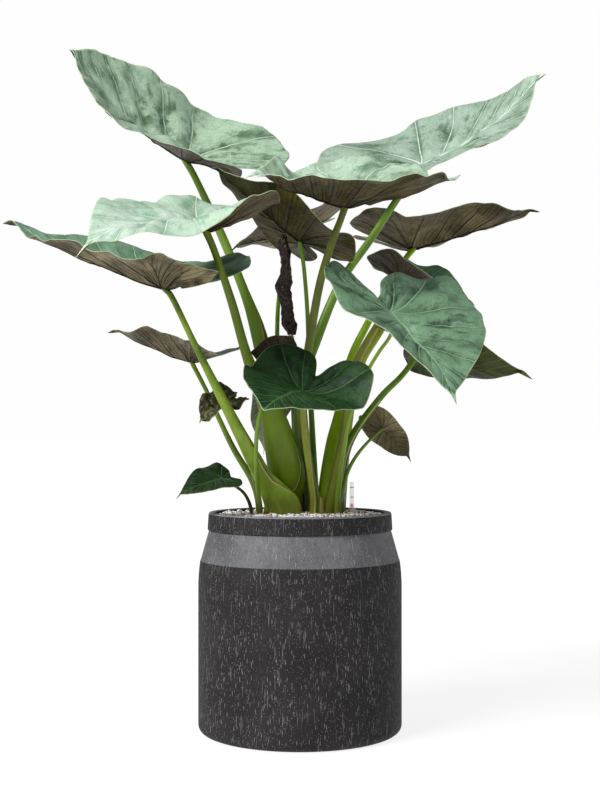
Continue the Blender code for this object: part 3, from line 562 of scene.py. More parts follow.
# For each leaf: where the stalk meets it, its tip, half its width, how long the back lobes are, how far it is rolled,
# how steeply its halves rise (towards the tip, beside the stalk, in the lobe), how far the lobes are lifted, its bow,
# its wave and where the wave starts. Two values are for the right and the left half.
LEAVES = {
    "a": ((-256, 160, 1239), (-494, 40, 1452), (192, 178), (190, 105), -38, ((28, 25), (5, 30, 16)), 22, -22, 10, 0.4),
    "b": ((-189, -140, 1036), (-402, -380, 971), (172, 160), (172, 150), -6, ((20, 22), (-16, 26)), 30, 32, 9, 2.0),
    "c": ((-279, -60, 928), (-645, 100, 1091), 150, (150, 145), -4, ((27, 27), (18, 28, 16)), 24, -12, 9, 1.1),
    "d": ((-237, 100, 784), (-423, 170, 864), 100, (100, 75), 4, ((22, 24), (34, 30, 0)), 30, -6, 5, 0.2),
    "e": ((0, 85, 1045), (-180, -26, 1190), (100, 125), (70, 106), 7, ((14, 10), (14, 2)), 6, -4, 7, 0.9),
    "f": ((275.6, 240, 1243.5), (551, 200, 1451), (180, 165), 200, 32, ((4, 18), (16, 18)), 10, -30, 10, 0.0),
    "g": ((92, -100, 1091), (-100, -200, 1141), 165, 210, -18, ((12, 27), (36, 27)), 26, -4, 9, 2.6),
    "h": ((177, -200, 868), (282, -420, 702), (112, 176), (190, 130), -3, ((16, 4), (20, 18)), 5, 6, 6, 1.4),
    "i": ((228, 80, 953), (372, 50, 913), 100, 95, -2, ((10, 30), (48, 40)), 20, 6, 5, 2.2),
    "j": ((6, -137, 714), (-68, -277, 678), (125, 134), 132, -20, ((8, 8), (0, 8, 16)), 46, 10, 6, 0.6),
    "k": ((263.7, 290, 1057.3), (549.5, 270, 1147.4), 150, 145, -8, 16, 32, -4, 10, 1.8),
    "l": ((-19, 350, 1094), (-159, 290, 1064), 125, 165, 14, 12, 26, 6, 7, 0.3),
    "m": ((260, 90, 803), (498, 100, 762), (100, 78), (55, 36), -30, ((16, 10), (5, 5)), 34, -16, 6, 1.0),
    "n": ((179, 80, 637), (237, 80, 578), 37, 56, -70, 8, 8, 3, 2, 1.0),
    "o": ((-162, -50, 535), (-248, -120, 503), 47, 34, -32, 16, 14, 4, 2, 0.5),
    "p": ((-158, 10, 691), (-212, -20, 650), 50, 52, -30, 24, 30, 10, 10, 0.8),
    "q": ((-56, 210, 706), (-82, 170, 588), 60, 50, 0, 10, 10, 4, 3, 1.3),
    "r": ((-40, 8, 795), (-108, 10, 800), 44, 34, 62, 10, 10, 2, 3, 0.4),
    "t": ((183, -170, 829), (250, -215, 797), 40, 26, 0, 12, 16, 3, 2, 0.1),
}
# How much of the lobes the notch takes, how full the front is and how far the tip is turned, where not as usual.
UNUSUAL = {
    "a": {"full": 0.5}, "f": {"full": 0.85}, "g": {"twist": -36}, "h": {"notch": 0.36, "full": 0.85},
    "j": {"notch": 0.5, "full": 0.62}, "n": {"notch": 0.85, "full": 0.6}, "o": {"notch": 0.75},
}


def in_metres(value):
    return tuple(in_metres(part) for part in value) if isinstance(value, tuple) else value / 1000.0


def curve_at(rows, where):
    """Places on the Catmull-Rom curve through the rows; where counts in rows."""
    rows = np.asarray(rows, dtype=float)
    padded = np.vstack((2.0 * rows[0] - rows[1], rows, 2.0 * rows[-1] - rows[-2]))
    where = np.clip(np.asarray(where, dtype=float), 0.0, len(rows) - 1.0)
    index = np.minimum(where.astype(int), len(rows) - 2)
    t = (where - index)[..., None]
    before, start, end, after = (padded[index + step] for step in range(4))
    return 0.5 * (2.0 * start + (end - before) * t + (2.0 * before - 5.0 * start + 4.0 * end - after) * t ** 2
                  + (3.0 * start - before - 3.0 * end + after) * t ** 3)


def both(value):
    """One value for the right half of a leaf and one for the left."""
    return value if isinstance(value, tuple) else (value, value)


class LeafForm:
    """The form of one blade: places u along the midrib and v across it are bent into the leaf's own space."""

    def __init__(
        self, attach, tip, half_width, lobe, roll, fold, lift, bow, wave, phase, twist=0, notch=0.28, full=1.0,
    ):
        attach, tip, half_width, lobe = (in_metres(value) for value in (attach, tip, half_width, lobe))
        chord = Vector(tip) - Vector(attach)
        along = chord.normalized()
        level = (Vector((0.0, 0.0, 1.0)) - along * along.z).normalized()
        up = Matrix.Rotation(math.radians(roll), 3, along) @ level
        self.attach = np.array(attach)
        self.front = chord.length
        self.along = np.array(along)
        self.up = np.array(up)
        self.left = np.array(up.cross(along))
        self.half_width = both(half_width)
        self.lobe = both(lobe)
        self.notch = notch * min(self.lobe)
        self.full = full
        self.fold = [np.radians((both(half) + both(half)[-1:])[:3]) for half in both(fold)]
        self.lift = math.radians(lift)
        self.bow = in_metres(bow)
        self.wave = in_metres(wave)
        self.phase = phase
        self.twist = math.radians(twist)
        self.edges = [self.edge(np.linspace(0.0, HALF_COLUMNS, EDGE_PLACES), half) for half in (0, 1)]

    def edge(self, step, half):
        """The flat place on the edge of one half; step counts from 0 at the tip to 12 at the notch."""
        length = np.where(HALF_OUTLINE[:, 0] > 0.0, self.front, self.lobe[half])
        rows = HALF_OUTLINE * np.stack((length, np.full(len(length), self.half_width[half])), 1)
        rows[-1] = (-self.notch, 0.0)
        ahead = HALF_OUTLINE[:, 0] > 0.3
        rows[ahead, 1] = HALF_OUTLINE[ahead, 1] ** self.full * self.half_width[half]
        places = curve_at(rows, step)
        return places[..., 0], np.maximum(places[..., 1], 0.0)

    def width_at(self, v):
        return np.where(v > 0.0, self.half_width[1], self.half_width[0])

    def fold_at(self, u, v):
        """How steeply each half rises from the midrib: towards the tip, beside the stalk and in the lobe."""
        ahead = np.clip(u / (0.55 * self.front), 0.0, 1.0)
        behind = np.clip(-u / (0.8 * max(self.lobe)), 0.0, 1.0)
        ahead, behind = (share ** 2 * (3.0 - 2.0 * share) for share in (ahead, behind))
        right, left = (stem + (tip - stem) * ahead + (lobe - stem) * behind for tip, stem, lobe in self.fold)
        return np.where(v > 0.0, left, right)

    def place(self, u, v, reach, step):
        """Where flat places lie in space, for a share of the way out to the edge."""
        u, v, reach, step = (np.asarray(value, dtype=float) for value in (u, v, reach, step))
        ahead = np.maximum(u, 0.0) / self.front
        bow = 4.0 * self.bow * (u / self.front) * (1.0 - ahead)
        back = np.hypot(np.minimum(u, 0.0), FOLD_SOFTNESS) - FOLD_SOFTNESS
        wave = self.wave * reach ** 3 * np.sin(1.7 * step + self.phase) * np.sin(math.pi * step / HALF_COLUMNS)
        rise = bow + back * math.sin(self.lift)
        forward = np.where(u > 0.0, u, u * math.cos(self.lift))
        fold = self.fold_at(u, v)
        side = v * np.cos(fold)
        lift = (np.hypot(v, FOLD_SOFTNESS) - FOLD_SOFTNESS) * np.sin(fold) + wave
        turn = self.twist * ahead ** 2
        side, lift = side * np.cos(turn) - lift * np.sin(turn), side * np.sin(turn) + lift * np.cos(turn)
        return (self.attach + forward[..., None] * self.along + (rise + lift)[..., None] * self.up
                + side[..., None] * self.left)

    def share_of(self, u, v):
        """How far out a flat place lies, and at which step of the edge."""
        edge_u, edge_v = self.edges[1 if v[-1] > 0.0 else 0]
        turns = np.maximum.accumulate(np.arctan2(edge_v, edge_u))
        turn = np.arctan2(np.abs(v), u)
        step = np.interp(turn, turns, np.linspace(0.0, HALF_COLUMNS, EDGE_PLACES))
        edge = np.interp(turn, turns, np.hypot(edge_u, edge_v))
        return np.hypot(u, v) / np.maximum(edge, 1e-6), step

    def seat_normal(self):
        made = self.up - self.along * (4.0 * self.bow / self.front)
        return made / np.linalg.norm(made)


forms = {letter: LeafForm(*leaf, **UNUSUAL.get(letter, {})) for letter, leaf in LEAVES.items()}


# ---- Stalks ----
# Smooth, juicy petioles. The foot of each is a sheath that wraps the younger stalks, with a thin dry margin that runs
# down it in a curve, and the top widens a little into the blade's ribs. All of them grow out of the crown.
STALK_PARTS = 7
# From this half width on, a stalk is built with twice the sides.
STOUT = 0.014
SOLID_THICKNESS = 0.0009
# Rings of each stalk in millimetres: centre, half its width and half its depth.
STALKS = {
    "a": ((-34, 88, 437, 16, 14), (-34, 86, 470, 17, 14), (-42, 68, 580, 20, 12), (-56, 54, 700, 21, 11),
          (-90, 72, 845, 17, 9), (-122, 98, 938, 10.5, 8.5), (-173, 130, 1065, 9.8, 8.5), (-229, 153, 1188, 7.5, 7.5)),
    "b": ((-38, 46, 437, 30, 16), (-36, 44, 470, 34, 18), (-28, 26, 530, 40, 24), (-38, 2, 590, 36, 21),
          (-64, -18, 683, 24, 13), (-107, -44, 779, 11.5, 10), (-140, -90, 897, 8.8, 8.8),
          (-172, -130, 994, 7.2, 7.2)),
    "c": ((-38, 6, 437, 39, 10), (-39, 4, 475, 39, 12), (-56, -8, 505, 29, 12), (-79, -22, 540, 20, 10),
          (-100, -38, 580, 17, 10), (-139, -62, 656, 12, 10), (-211, -72, 799, 7, 7.5), (-262, -66, 904, 6.2, 6.2)),
    "d": ((-88, 68, 437, 7.5, 7.5), (-90, 66, 480, 7.5, 7.5), (-104, 58, 528, 7.5, 7), (-142, 55, 592, 6.5, 6.5),
          (-172, 66, 652, 5.5, 5.5), (-205, 86, 722, 4.8, 4.8)),
    "e": ((36, 120, 437, 8.5, 8.5), (35, 120, 480, 8, 8), (21, 112, 750, 5.6, 5.6), (17, 102, 879, 4.8, 4.8),
          (9, 90, 985, 4.4, 4.4)),
    "f": ((4, 94, 437, 15, 13), (3, 92, 480, 15, 13), (-1, 66, 620, 14, 11), (6, 46, 740, 12, 10),
          (37, 56, 834, 11, 9.5), (88, 94, 956, 9.2, 9), (155, 126, 1055, 8.4, 8.4), (215, 154, 1148, 7.8, 7.8)),
    "g": ((22.5, 56, 437, 12, 12), (22.5, 58, 480, 12, 12), (19, 55, 535, 11.5, 11.5), (10, 30, 600, 11.5, 10),
          (3, -2, 690, 10.5, 9.5), (11, -12, 760, 9.5, 9), (38, -70, 923, 8.5, 8.5), (64, -94, 1015, 7.8, 7.8),
          (82, -99, 1062, 7, 7)),
    "h": ((64, 20, 437, 13, 12), (65, 18, 480, 12.5, 11), (90, -6, 608, 10, 9.5), (101, -22, 690, 8.8, 8.8),
          (116, -40, 771, 8, 8), (155, -120, 845, 7.2, 7.2)),
    "i": ((90, 100, 437, 11, 10.5), (91, 98, 480, 10.5, 10.5), (102, 80, 614, 9, 8.8), (113, 48, 698, 7.8, 7.8),
          (132, 20, 778, 7.3, 7.3), (169, 22, 840, 6.6, 6.6), (212, 62, 912, 5.8, 5.8)),
    "j": ((33, 12, 437, 15.5, 11), (34, 10, 480, 12, 10), (25, -8, 530, 8.5, 8.5), (15, -32, 594, 8, 8),
          (8, -60, 650, 7, 7), (6, -85, 682, 6, 6)),
    "k": ((58, 68, 437, 20, 17), (58, 68, 500, 19, 16), (70, 80, 600, 15, 13), (87, 94, 676, 11, 10),
          (110, 100, 786, 9, 9), (146, 110, 864, 8, 8), (206, 190, 970, 7.2, 7.2), (242, 255, 1028, 6.6, 6.6)),
    "l": ((-56, 114, 437, 7.5, 7.5), (-56, 116, 480, 7, 7), (-49, 124, 680, 5.8, 5.8), (-51, 144, 839, 5, 5),
          (-46, 210, 950, 4.8, 4.8), (-24, 315, 1055, 4.6, 4.6)),
    "m": ((87, 52, 437, 11, 11), (86, 50, 480, 10.5, 10), (103, 28, 601, 8.8, 8.4), (168, 40, 699, 7.2, 7.2),
          (220, 66, 752, 6.2, 6.2)),
    "n": ((84.5, 24, 437, 4.6, 4.6), (85, 24, 475, 4.6, 4.6), (93, 22, 515, 4.4, 4.4), (103, 18, 549, 4.2, 4.2),
          (121, 30, 580, 3.8, 3.8), (145, 45, 608, 3.4, 3.4), (166, 64, 626, 3, 3)),
    "o": ((-104, 26, 437, 4.2, 4.2), (-105, 24, 468, 4, 4), (-116, -2, 498, 3.4, 3.4), (-134, -28, 516, 3, 3),
          (-152, -42, 524, 2.7, 2.7)),
    "p": ((-89, 38, 437, 5.5, 5.5), (-90, 37, 480, 5.5, 5.5), (-104, 20, 560, 5, 5), (-134, 12, 630, 4.2, 4.2),
          (-150, 12, 668, 3.6, 3.6)),
    "q": ((-22, 126, 437, 4.8, 4.8), (-22, 128, 480, 4.6, 4.6), (-26, 170, 580, 4, 4), (-42, 206, 670, 3.4, 3.4)),
    "r": ((-84, -14, 437, 5, 5), (-86, -20, 480, 4.8, 4.8), (-91, -58, 560, 4.6, 4.6), (-88, -74, 640, 4.4, 4.4),
          (-72, -70, 700, 4.2, 4.2), (-50, -44, 742, 4, 4), (-40, -14, 768, 3.8, 3.8)),
    "t": ((79, -12, 437, 6, 6), (79, -14, 480, 5.8, 5.8), (86, -40, 560, 5, 5), (98.5, -70, 645, 4.4, 4.4),
          (117, -90, 704, 4.2, 4.2), (136, -112, 752, 4, 4), (159, -140, 792, 3.8, 3.8), (175, -160, 814, 3.6, 3.6)),
}
# Colours from the foot to the blade, and how red or brown the stalk's shaded side is.
STALK_TONES = {
    "a": ((98, 132, 30), (132, 168, 70), 0.05), "b": ((86, 114, 8), (98, 118, 12), 0.14),
    "c": ((122, 150, 42), (74, 104, 18), 0.08), "d": ((88, 118, 28), (106, 132, 32), 0.20),
    "e": ((92, 130, 30), (100, 138, 32), 0.05), "f": ((84, 116, 24), (140, 182, 74), 0.05),
    "g": ((112, 132, 34), (92, 100, 30), 0.28), "h": ((108, 122, 28), (128, 128, 38), 0.30),
    "i": ((126, 150, 26), (138, 144, 34), 0.10), "j": ((122, 138, 46), (132, 136, 54), 0.15),
    "k": ((126, 158, 8), (124, 168, 18), 0.0), "l": ((94, 136, 24), (118, 156, 28), 0.05),
    "m": ((84, 118, 20), (82, 124, 18), 0.05), "n": ((102, 134, 36), (118, 132, 54), 0.15),
    "o": ((86, 92, 34), (72, 66, 32), 0.40), "p": ((88, 116, 30), (92, 112, 32), 0.30),
    "q": ((92, 122, 32), (94, 112, 36), 0.20), "r": ((104, 138, 38), (104, 132, 40), 0.05),
    "t": ((104, 138, 34), (132, 160, 54), 0.05), "dry": ((92, 130, 32), (106, 142, 38), 0.05),
}
# Sheath margins, from the top down: height, and the angle round the stalk (0 right, 90 back, 180 left, 270 front).
SHEATH_MARGINS = {
    "a": ((0.935, 350), (0.880, 318), (0.820, 296), (0.720, 290), (0.600, 300)),
    "b": ((0.730, 352), (0.670, 345), (0.620, 338), (0.560, 326), (0.520, 300), (0.480, 250)),
    "c": ((0.640, 330), (0.600, 318), (0.560, 305), (0.525, 302), (0.505, 325), (0.480, 350)),
    "g": ((0.780, 40), (0.700, 20), (0.600, 0), (0.500, -20)),
    "j": ((0.600, 320), (0.560, 300), (0.520, 285), (0.470, 260)),
    "k": ((0.690, 350), (0.640, 335), (0.580, 320), (0.500, 300)),
    "f": ((0.700, 300), (0.600, 290), (0.500, 280)),
    "m": ((0.700, 310), (0.640, 300), (0.560, 285), (0.480, 265)),
}
SHEATH_STEP = 0.0016
# How much paler than the foot colour the painted sheen patches on the stalks are, in red, green and blue.
STALK_SHEEN_FACTORS = (1.8, 1.7, 2.2)
FOOT_HEIGHTS = (0.462, 0.505)
BEFORE_MARGIN = -0.05
SEAT_GAP = 0.0003


def new_grid(name, columns, rows):
    """A flat grid and, for each of its corners, the share of the way across it and along it."""
    clear_selection()
    bpy.ops.mesh.primitive_grid_add(x_subdivisions=columns, y_subdivisions=rows, size=2.0)
    made = bpy.context.object
    made.name = made.data.name = name
    flat = np.empty(len(made.data.vertices) * 3)
    made.data.vertices.foreach_get("co", flat)
    return made, (flat[0::3] + 1.0) / 2.0, (flat[1::3] + 1.0) / 2.0


def lay_out(made, places, **maps):
    """Moves a grid's corners to their places and gives it its UV maps, each a pair of values for every corner."""
    mesh = made.data
    mesh.vertices.foreach_set("co", places.ravel())
    corners = np.empty(len(mesh.loops), dtype=int)
    mesh.loops.foreach_get("vertex_index", corners)
    for name, pair in maps.items():
        layer = mesh.uv_layers.new(name=name)
        layer.data.foreach_set("uv", np.stack(pair, 1)[corners].ravel())
    mesh.uv_layers.remove(mesh.uv_layers[0])


def stalk_skin(name, low, high, blush):
    """Waxy stalk skin: its colour changes by height, with pale patches of painted sheen, fine lengthwise lines, a dry
    pale line on the margin and a painted shadow beside it.
    """
    skin = Finish(name, 0.34, 0.30)
    low, high = linear(*low), linear(*high)
    run = skin.layer("run")
    margin, share, _ = split(skin.layer("margin"))
    place = skin.place()
    # Painted sheen: pale patches scattered at random over the stalk.
    sheen_patch = ramp(grain(place, 18.0, 5.0, 0.62, (1.0, 1.0, 0.5)), 0.38, 0.66)
    pale = tuple(min(1.0, value * factor) for value, factor in zip(low, STALK_SHEEN_FACTORS))
    base = tint(sheen_patch * 0.55, tint(share, low, high), pale)
    lines = grain(run, 1.0, 3.0, 0.6, (46.0, 5.0, 1.0))
    base = tint(ramp(lines, 0.38, 0.74, 0.0, 0.26), base, scaled(low, 0.50))
    turn = split(run)[0] * math.tau
    base = tint(ramp(turn.reckon("COSINE", turn), -1.0, 1.0, blush, 0.0), base, linear(92, 74, 34))
    foot = ramp(split(place)[2], *FOOT_HEIGHTS, 0.75, 0.0) * ramp(lines, 0.30, 0.62, 0.35, 1.0)
    base = tint(foot, base, linear(92, 88, 30))
    base = tint(ramp(abs(margin), 0.0009, 0.0024, 0.90, 0.0), base, linear(188, 176, 104))
    # Painted shadow: a dark green strip on the layer just beside the margin, under the lapping sheath edge.
    lap_shadow = ramp(margin, 0.0012, 0.0080, 0.75, 0.0) * ramp(margin, 0.0008, 0.0016)
    skin.colour(tint(lap_shadow, base, linear(34, 52, 14)))
    skin.relief(lines, 0.25, 0.0008)
    return skin.material


def make_stalk(name, node, rings, tones, margins=None, seat=None):
    """A stalk: a grid wrapped round the rings and closed at both ends, with the sheath's lap raised along its margin.
    seat is square to the blade it carries, so that its end lies flat against the underside."""
    last = len(rings) - 1
    made, across, up = new_grid(name, 64 if max(rings[:, 3]) > STOUT else 32, last)
    turn = across * math.tau
    index = np.rint(up * last).astype(int)
    centres = rings[:, :3]
    along = np.gradient(centres, axis=0)
    along[0] = (0.0, 0.0, 1.0)
    along /= np.linalg.norm(along, axis=1)[:, None]
    side = np.array((1.0, 0.0, 0.0)) - along * along[:, :1]
    side /= np.linalg.norm(side, axis=1)[:, None]
    depth = np.cross(along, side)
    length = np.concatenate(((0.0,), np.cumsum(np.linalg.norm(np.diff(centres, axis=0), axis=1))))
    wide, deep = rings[:, 3], rings[:, 4]
    raised = np.zeros(len(turn))
    gap = np.full(len(turn), BEFORE_MARGIN)
    if margins:
        heights, angles = np.array(margins, dtype=float)[::-1].T
        height = centres[index, 2]
        off = (turn - np.interp(height, heights, np.radians(angles)) + math.pi) % math.tau - math.pi
        above = np.clip((height - heights[0] + 0.05) / 0.03, 0.0, 1.0)
        fade = np.clip((heights[-1] - height) / 0.03, 0.0, 1.0) * above
        raised = SHEATH_STEP * fade * np.where(off < 0.0, np.clip(1.0 + off / 2.2, 0.0, 1.0), 0.0)
        gap = np.where(fade > 0.02, off * (wide + deep)[index] / 2.0, BEFORE_MARGIN)
    places = (centres[index] + side[index] * ((wide[index] + raised) * np.cos(turn))[:, None]
              + depth[index] * ((deep[index] + raised) * np.sin(turn))[:, None])
    if seat is not None:
        above = (places - centres[-1]) @ seat
        reach = wide[-1] * 2.5
        slant = max(0.3, along[-1] @ seat)
        moved = np.where(index == last, above, np.maximum(above + SEAT_GAP * (last - index), 0.0))
        places -= along[-1] * np.clip(moved / slant, -reach, reach)[:, None]
    lay_out(made, places, run=(turn / math.tau, length[index]), margin=(gap, length[index] / length[-1]))
    edit_all()
    bpy.ops.mesh.remove_doubles(threshold=0.000001)
    bpy.ops.mesh.select_all(action="DESELECT")
    bpy.ops.mesh.select_non_manifold()
    bpy.ops.mesh.fill_holes(sides=0)
    face_outward()
    bpy.ops.object.shade_smooth_by_angle(angle=math.radians(50))
    made.data.materials.append(stalk_skin(f"{name}_skin", *tones))
    settle(made, node)


for letter, stations in STALKS.items():
    form = forms[letter]
    normal = form.seat_normal()
    near_u = np.array((0.05, 0.0, 0.0, -0.05)) * form.front
    near_v = np.array((0.0, 0.05, -0.05, 0.0)) * form.half_width[0]
    near = form.place(near_u, near_v, 0.0, 0.0)
    lowest = min(0.0, ((near - form.attach) @ normal).min())
    end = form.attach + normal * (lowest - SOLID_THICKNESS / 2.0 - SEAT_GAP)
    stations = in_metres(stations)
    tip_radius = stations[-1][3] * 0.85 * 1.25
    stations = (*stations, (*end, tip_radius, tip_radius))
    rings = curve_at(stations, np.linspace(0.0, len(stations) - 1.0, (len(stations) - 1) * STALK_PARTS + 1))
    names = (f"leaf_{letter}_stalk", f"stalk_{letter}")
    make_stalk(*names, rings, STALK_TONES[letter], SHEATH_MARGINS.get(letter), normal)


# ---- Blades ----
# Thin, leathery blades with a thick midrib and side ribs that stand out below. The skin between the ribs is puffed up,
# the edge is pale and gently waved, and the tip runs out into a thread. Tops are glaucous green, undersides brown.
BLADE_THICKNESS = 0.0012
RIB_STARTS = (0.0, 0.145, 0.30, 0.46, 0.62, 0.78, 0.93)
BACK_RIB_STEP = 0.515
RIB_SWEEP = 1.25
RIB_END = 0.965
MIDRIB_RADII = (0.0025, 0.0004)
# Undersides whose light colours add up to more than this get a stronger painted sheen.
PALE_UNDERSIDE = 240
# For each leaf: top light and dark, rib on top, underside light and dark, rib below, how puffed it is, how many
# millimetres its tip drips, and how finely it is divided.
# Partly painted light: the high leaves A, B, F and G have paler tops for the sheen of the light from above, and the low
# ones such as J and O darker tops.
BLADE_LOOKS = {
    "a": ((194, 224, 196), (52, 96, 52), (214, 232, 212), (90, 78, 46), (46, 38, 20), (38, 30, 20), 1.6, 16, 9),
    "b": ((206, 230, 208), (132, 176, 144), (240, 250, 236), (94, 82, 46), (56, 46, 24), (44, 34, 20), 1.3, 22, 9),
    "c": ((122, 160, 130), (62, 100, 70), (160, 194, 166), (130, 119, 86), (58, 50, 26), (36, 28, 18), 1.6, 20, 9),
    "d": ((136, 168, 140), (84, 120, 90), (170, 200, 172), (134, 122, 92), (54, 46, 28), (36, 28, 18), 1.1, 16, 7),
    "e": ((116, 156, 130), (70, 106, 82), (150, 188, 164), (76, 68, 12), (40, 34, 4), (26, 21, 4), 0.9, 12, 8),
    "f": ((164, 188, 168), (52, 94, 60), (222, 236, 222), (92, 82, 50), (48, 42, 22), (42, 34, 24), 1.3, 10, 9),
    "g": ((204, 230, 206), (76, 124, 86), (216, 232, 214), (96, 84, 50), (50, 42, 22), (34, 26, 14), 2.1, 12, 9),
    "h": ((115, 151, 120), (18, 52, 28), (138, 172, 140), (80, 88, 46), (52, 58, 28), (60, 70, 30), 1.5, 14, 9),
    "i": ((104, 144, 114), (60, 100, 70), (146, 182, 152), (62, 52, 28), (30, 23, 11), (22, 15, 8), 1.0, 10, 7),
    "j": ((44, 78, 42), (12, 36, 16), (84, 118, 76), (84, 96, 52), (56, 62, 34), (110, 130, 70), 1.4, 1, 8),
    "k": ((116, 156, 130), (80, 120, 94), (150, 188, 164), (98, 88, 54), (50, 42, 20), (32, 24, 15), 1.2, 12, 9),
    "l": ((130, 164, 142), (84, 120, 96), (160, 190, 168), (132, 120, 90), (70, 60, 40), (40, 32, 20), 0.9, 14, 8),
    "m": ((72, 84, 40), (48, 52, 24), (106, 112, 66), (58, 72, 18), (34, 42, 8), (96, 106, 44), 0.7, 20, 7),
    "n": ((112, 140, 100), (84, 110, 76), (150, 170, 130), (146, 134, 104), (112, 100, 72), (90, 80, 54), 0.5, 12, 5),
    "o": ((40, 66, 36), (12, 30, 12), (58, 84, 50), (70, 76, 50), (48, 52, 32), (60, 66, 40), 1.4, 8, 6),
    "p": ((74, 70, 40), (26, 23, 10), (104, 106, 54), (84, 74, 46), (28, 22, 10), (84, 88, 40), 0.8, 0, 8),
    "q": ((120, 130, 104), (84, 90, 70), (150, 160, 130), (128, 114, 86), (76, 64, 46), (42, 33, 24), 0.6, 6, 6),
    "r": ((116, 150, 126), (80, 112, 88), (150, 176, 150), (92, 78, 54), (56, 45, 28), (36, 27, 18), 0.4, 4, 5),
    "t": ((120, 156, 120), (84, 116, 84), (150, 180, 150), (70, 56, 34), (42, 32, 18), (30, 22, 12), 0.4, 4, 5),
}
# How far a crumpled leaf's skin is thrown about.
CRUMPLE = {"p": 0.0075}
# How rough and how glossy the tops are, where that is not the usual.
USUAL_GLOSS = (0.46, 0.34)
GLOSS = {"h": (0.42, 0.34), "j": (0.45, 0.18), "o": (0.42, 0.24)}


def rib_along(form, start, across, v):
    """How far forward a side rib lies, in lengths of the front: the nearer it starts to the tip, the more it sweeps
    forward, and the two sides are a little apart."""
    apart = 0.020 * np.tanh(v / (0.08 * form.half_width[1]))
    return start * (1.0 + RIB_SWEEP * across) + 0.12 * across + 0.05 * across ** 2 + apart


def rib_count(form, u, v):
    """Counts side ribs from the stalk to a flat place, so a whole number lies on a rib, and gives the ribs' spacing."""
    across = np.abs(v) / form.width_at(v)
    origin = (u / form.front - rib_along(form, 0.0, across, v)) / (1.0 + RIB_SWEEP * across)
    slope = (0.12 + 0.10 * across + RIB_SWEEP * np.maximum(origin, 0.0)) * form.front / form.width_at(v)
    starts = np.array(RIB_STARTS)
    count = np.interp(origin, starts, np.arange(len(starts)))
    step = np.interp(origin, (starts[1:] + starts[:-1]) / 2.0, np.diff(starts))
    turn = np.arctan2(np.maximum(-origin, 0.0) * form.front, np.abs(v) + 1e-6)
    behind = origin < 0.0
    count = np.where(behind, -turn / BACK_RIB_STEP, count)
    between = step * form.front * (1.0 + RIB_SWEEP * across) / np.hypot(1.0, slope)
    spacing = np.where(behind, np.hypot(origin * form.front, v) * BACK_RIB_STEP, between)
    return count, spacing


def cloudy(scale, u, v, seed):
    """Smooth noise over the flat leaf, from -1 to 1."""
    return np.array([noise.noise(Vector((scale * a, scale * b, seed))) for a, b in zip(u, v)])


def skin_relief(form, u, v, reach, step, puff, seed):
    """How far the skin stands above the plain form: down on the ribs, puffed up between them, rippled at the edge."""
    count, spacing = rib_count(form, u, v)
    between = np.abs(np.sin(math.pi * count)) ** 1.3
    middle = np.exp(-(np.abs(v) / 0.010) ** 2) * (u > 0.0)
    clear = np.clip(reach / 0.22, 0.0, 1.0) ** 2 * (1.0 - 0.85 * reach ** 4)
    size = np.minimum(spacing, 0.05)
    height = puff * 0.140 * size * between * clear * (1.0 - middle) * (0.85 + 0.9 * cloudy(14.0, u, v, seed + 21.0))
    inner = np.clip(reach / 0.25, 0.0, 1.0) ** 2
    pucker = np.abs(cloudy(34.0, u, v, seed + 9.0)) - 0.2
    height += puff * (0.0060 * cloudy(13.0, u, v, seed) + 0.0022 * pucker) * inner
    height += puff * 0.0075 * reach ** 5 * cloudy(19.0, u, v, seed + 5.0)
    return height


def from_whole(value):
    """How far a value is from the nearest whole number."""
    return value.reckon("PINGPONG", value, 0.5)


def rib_line(count, far, width, low, high):
    """Where a side rib is drawn: how far off it, against its width, and no further back than the last rib."""
    return (1.0 - ramp(far / width, low, high)) * ramp(count, -2.65, -2.55)


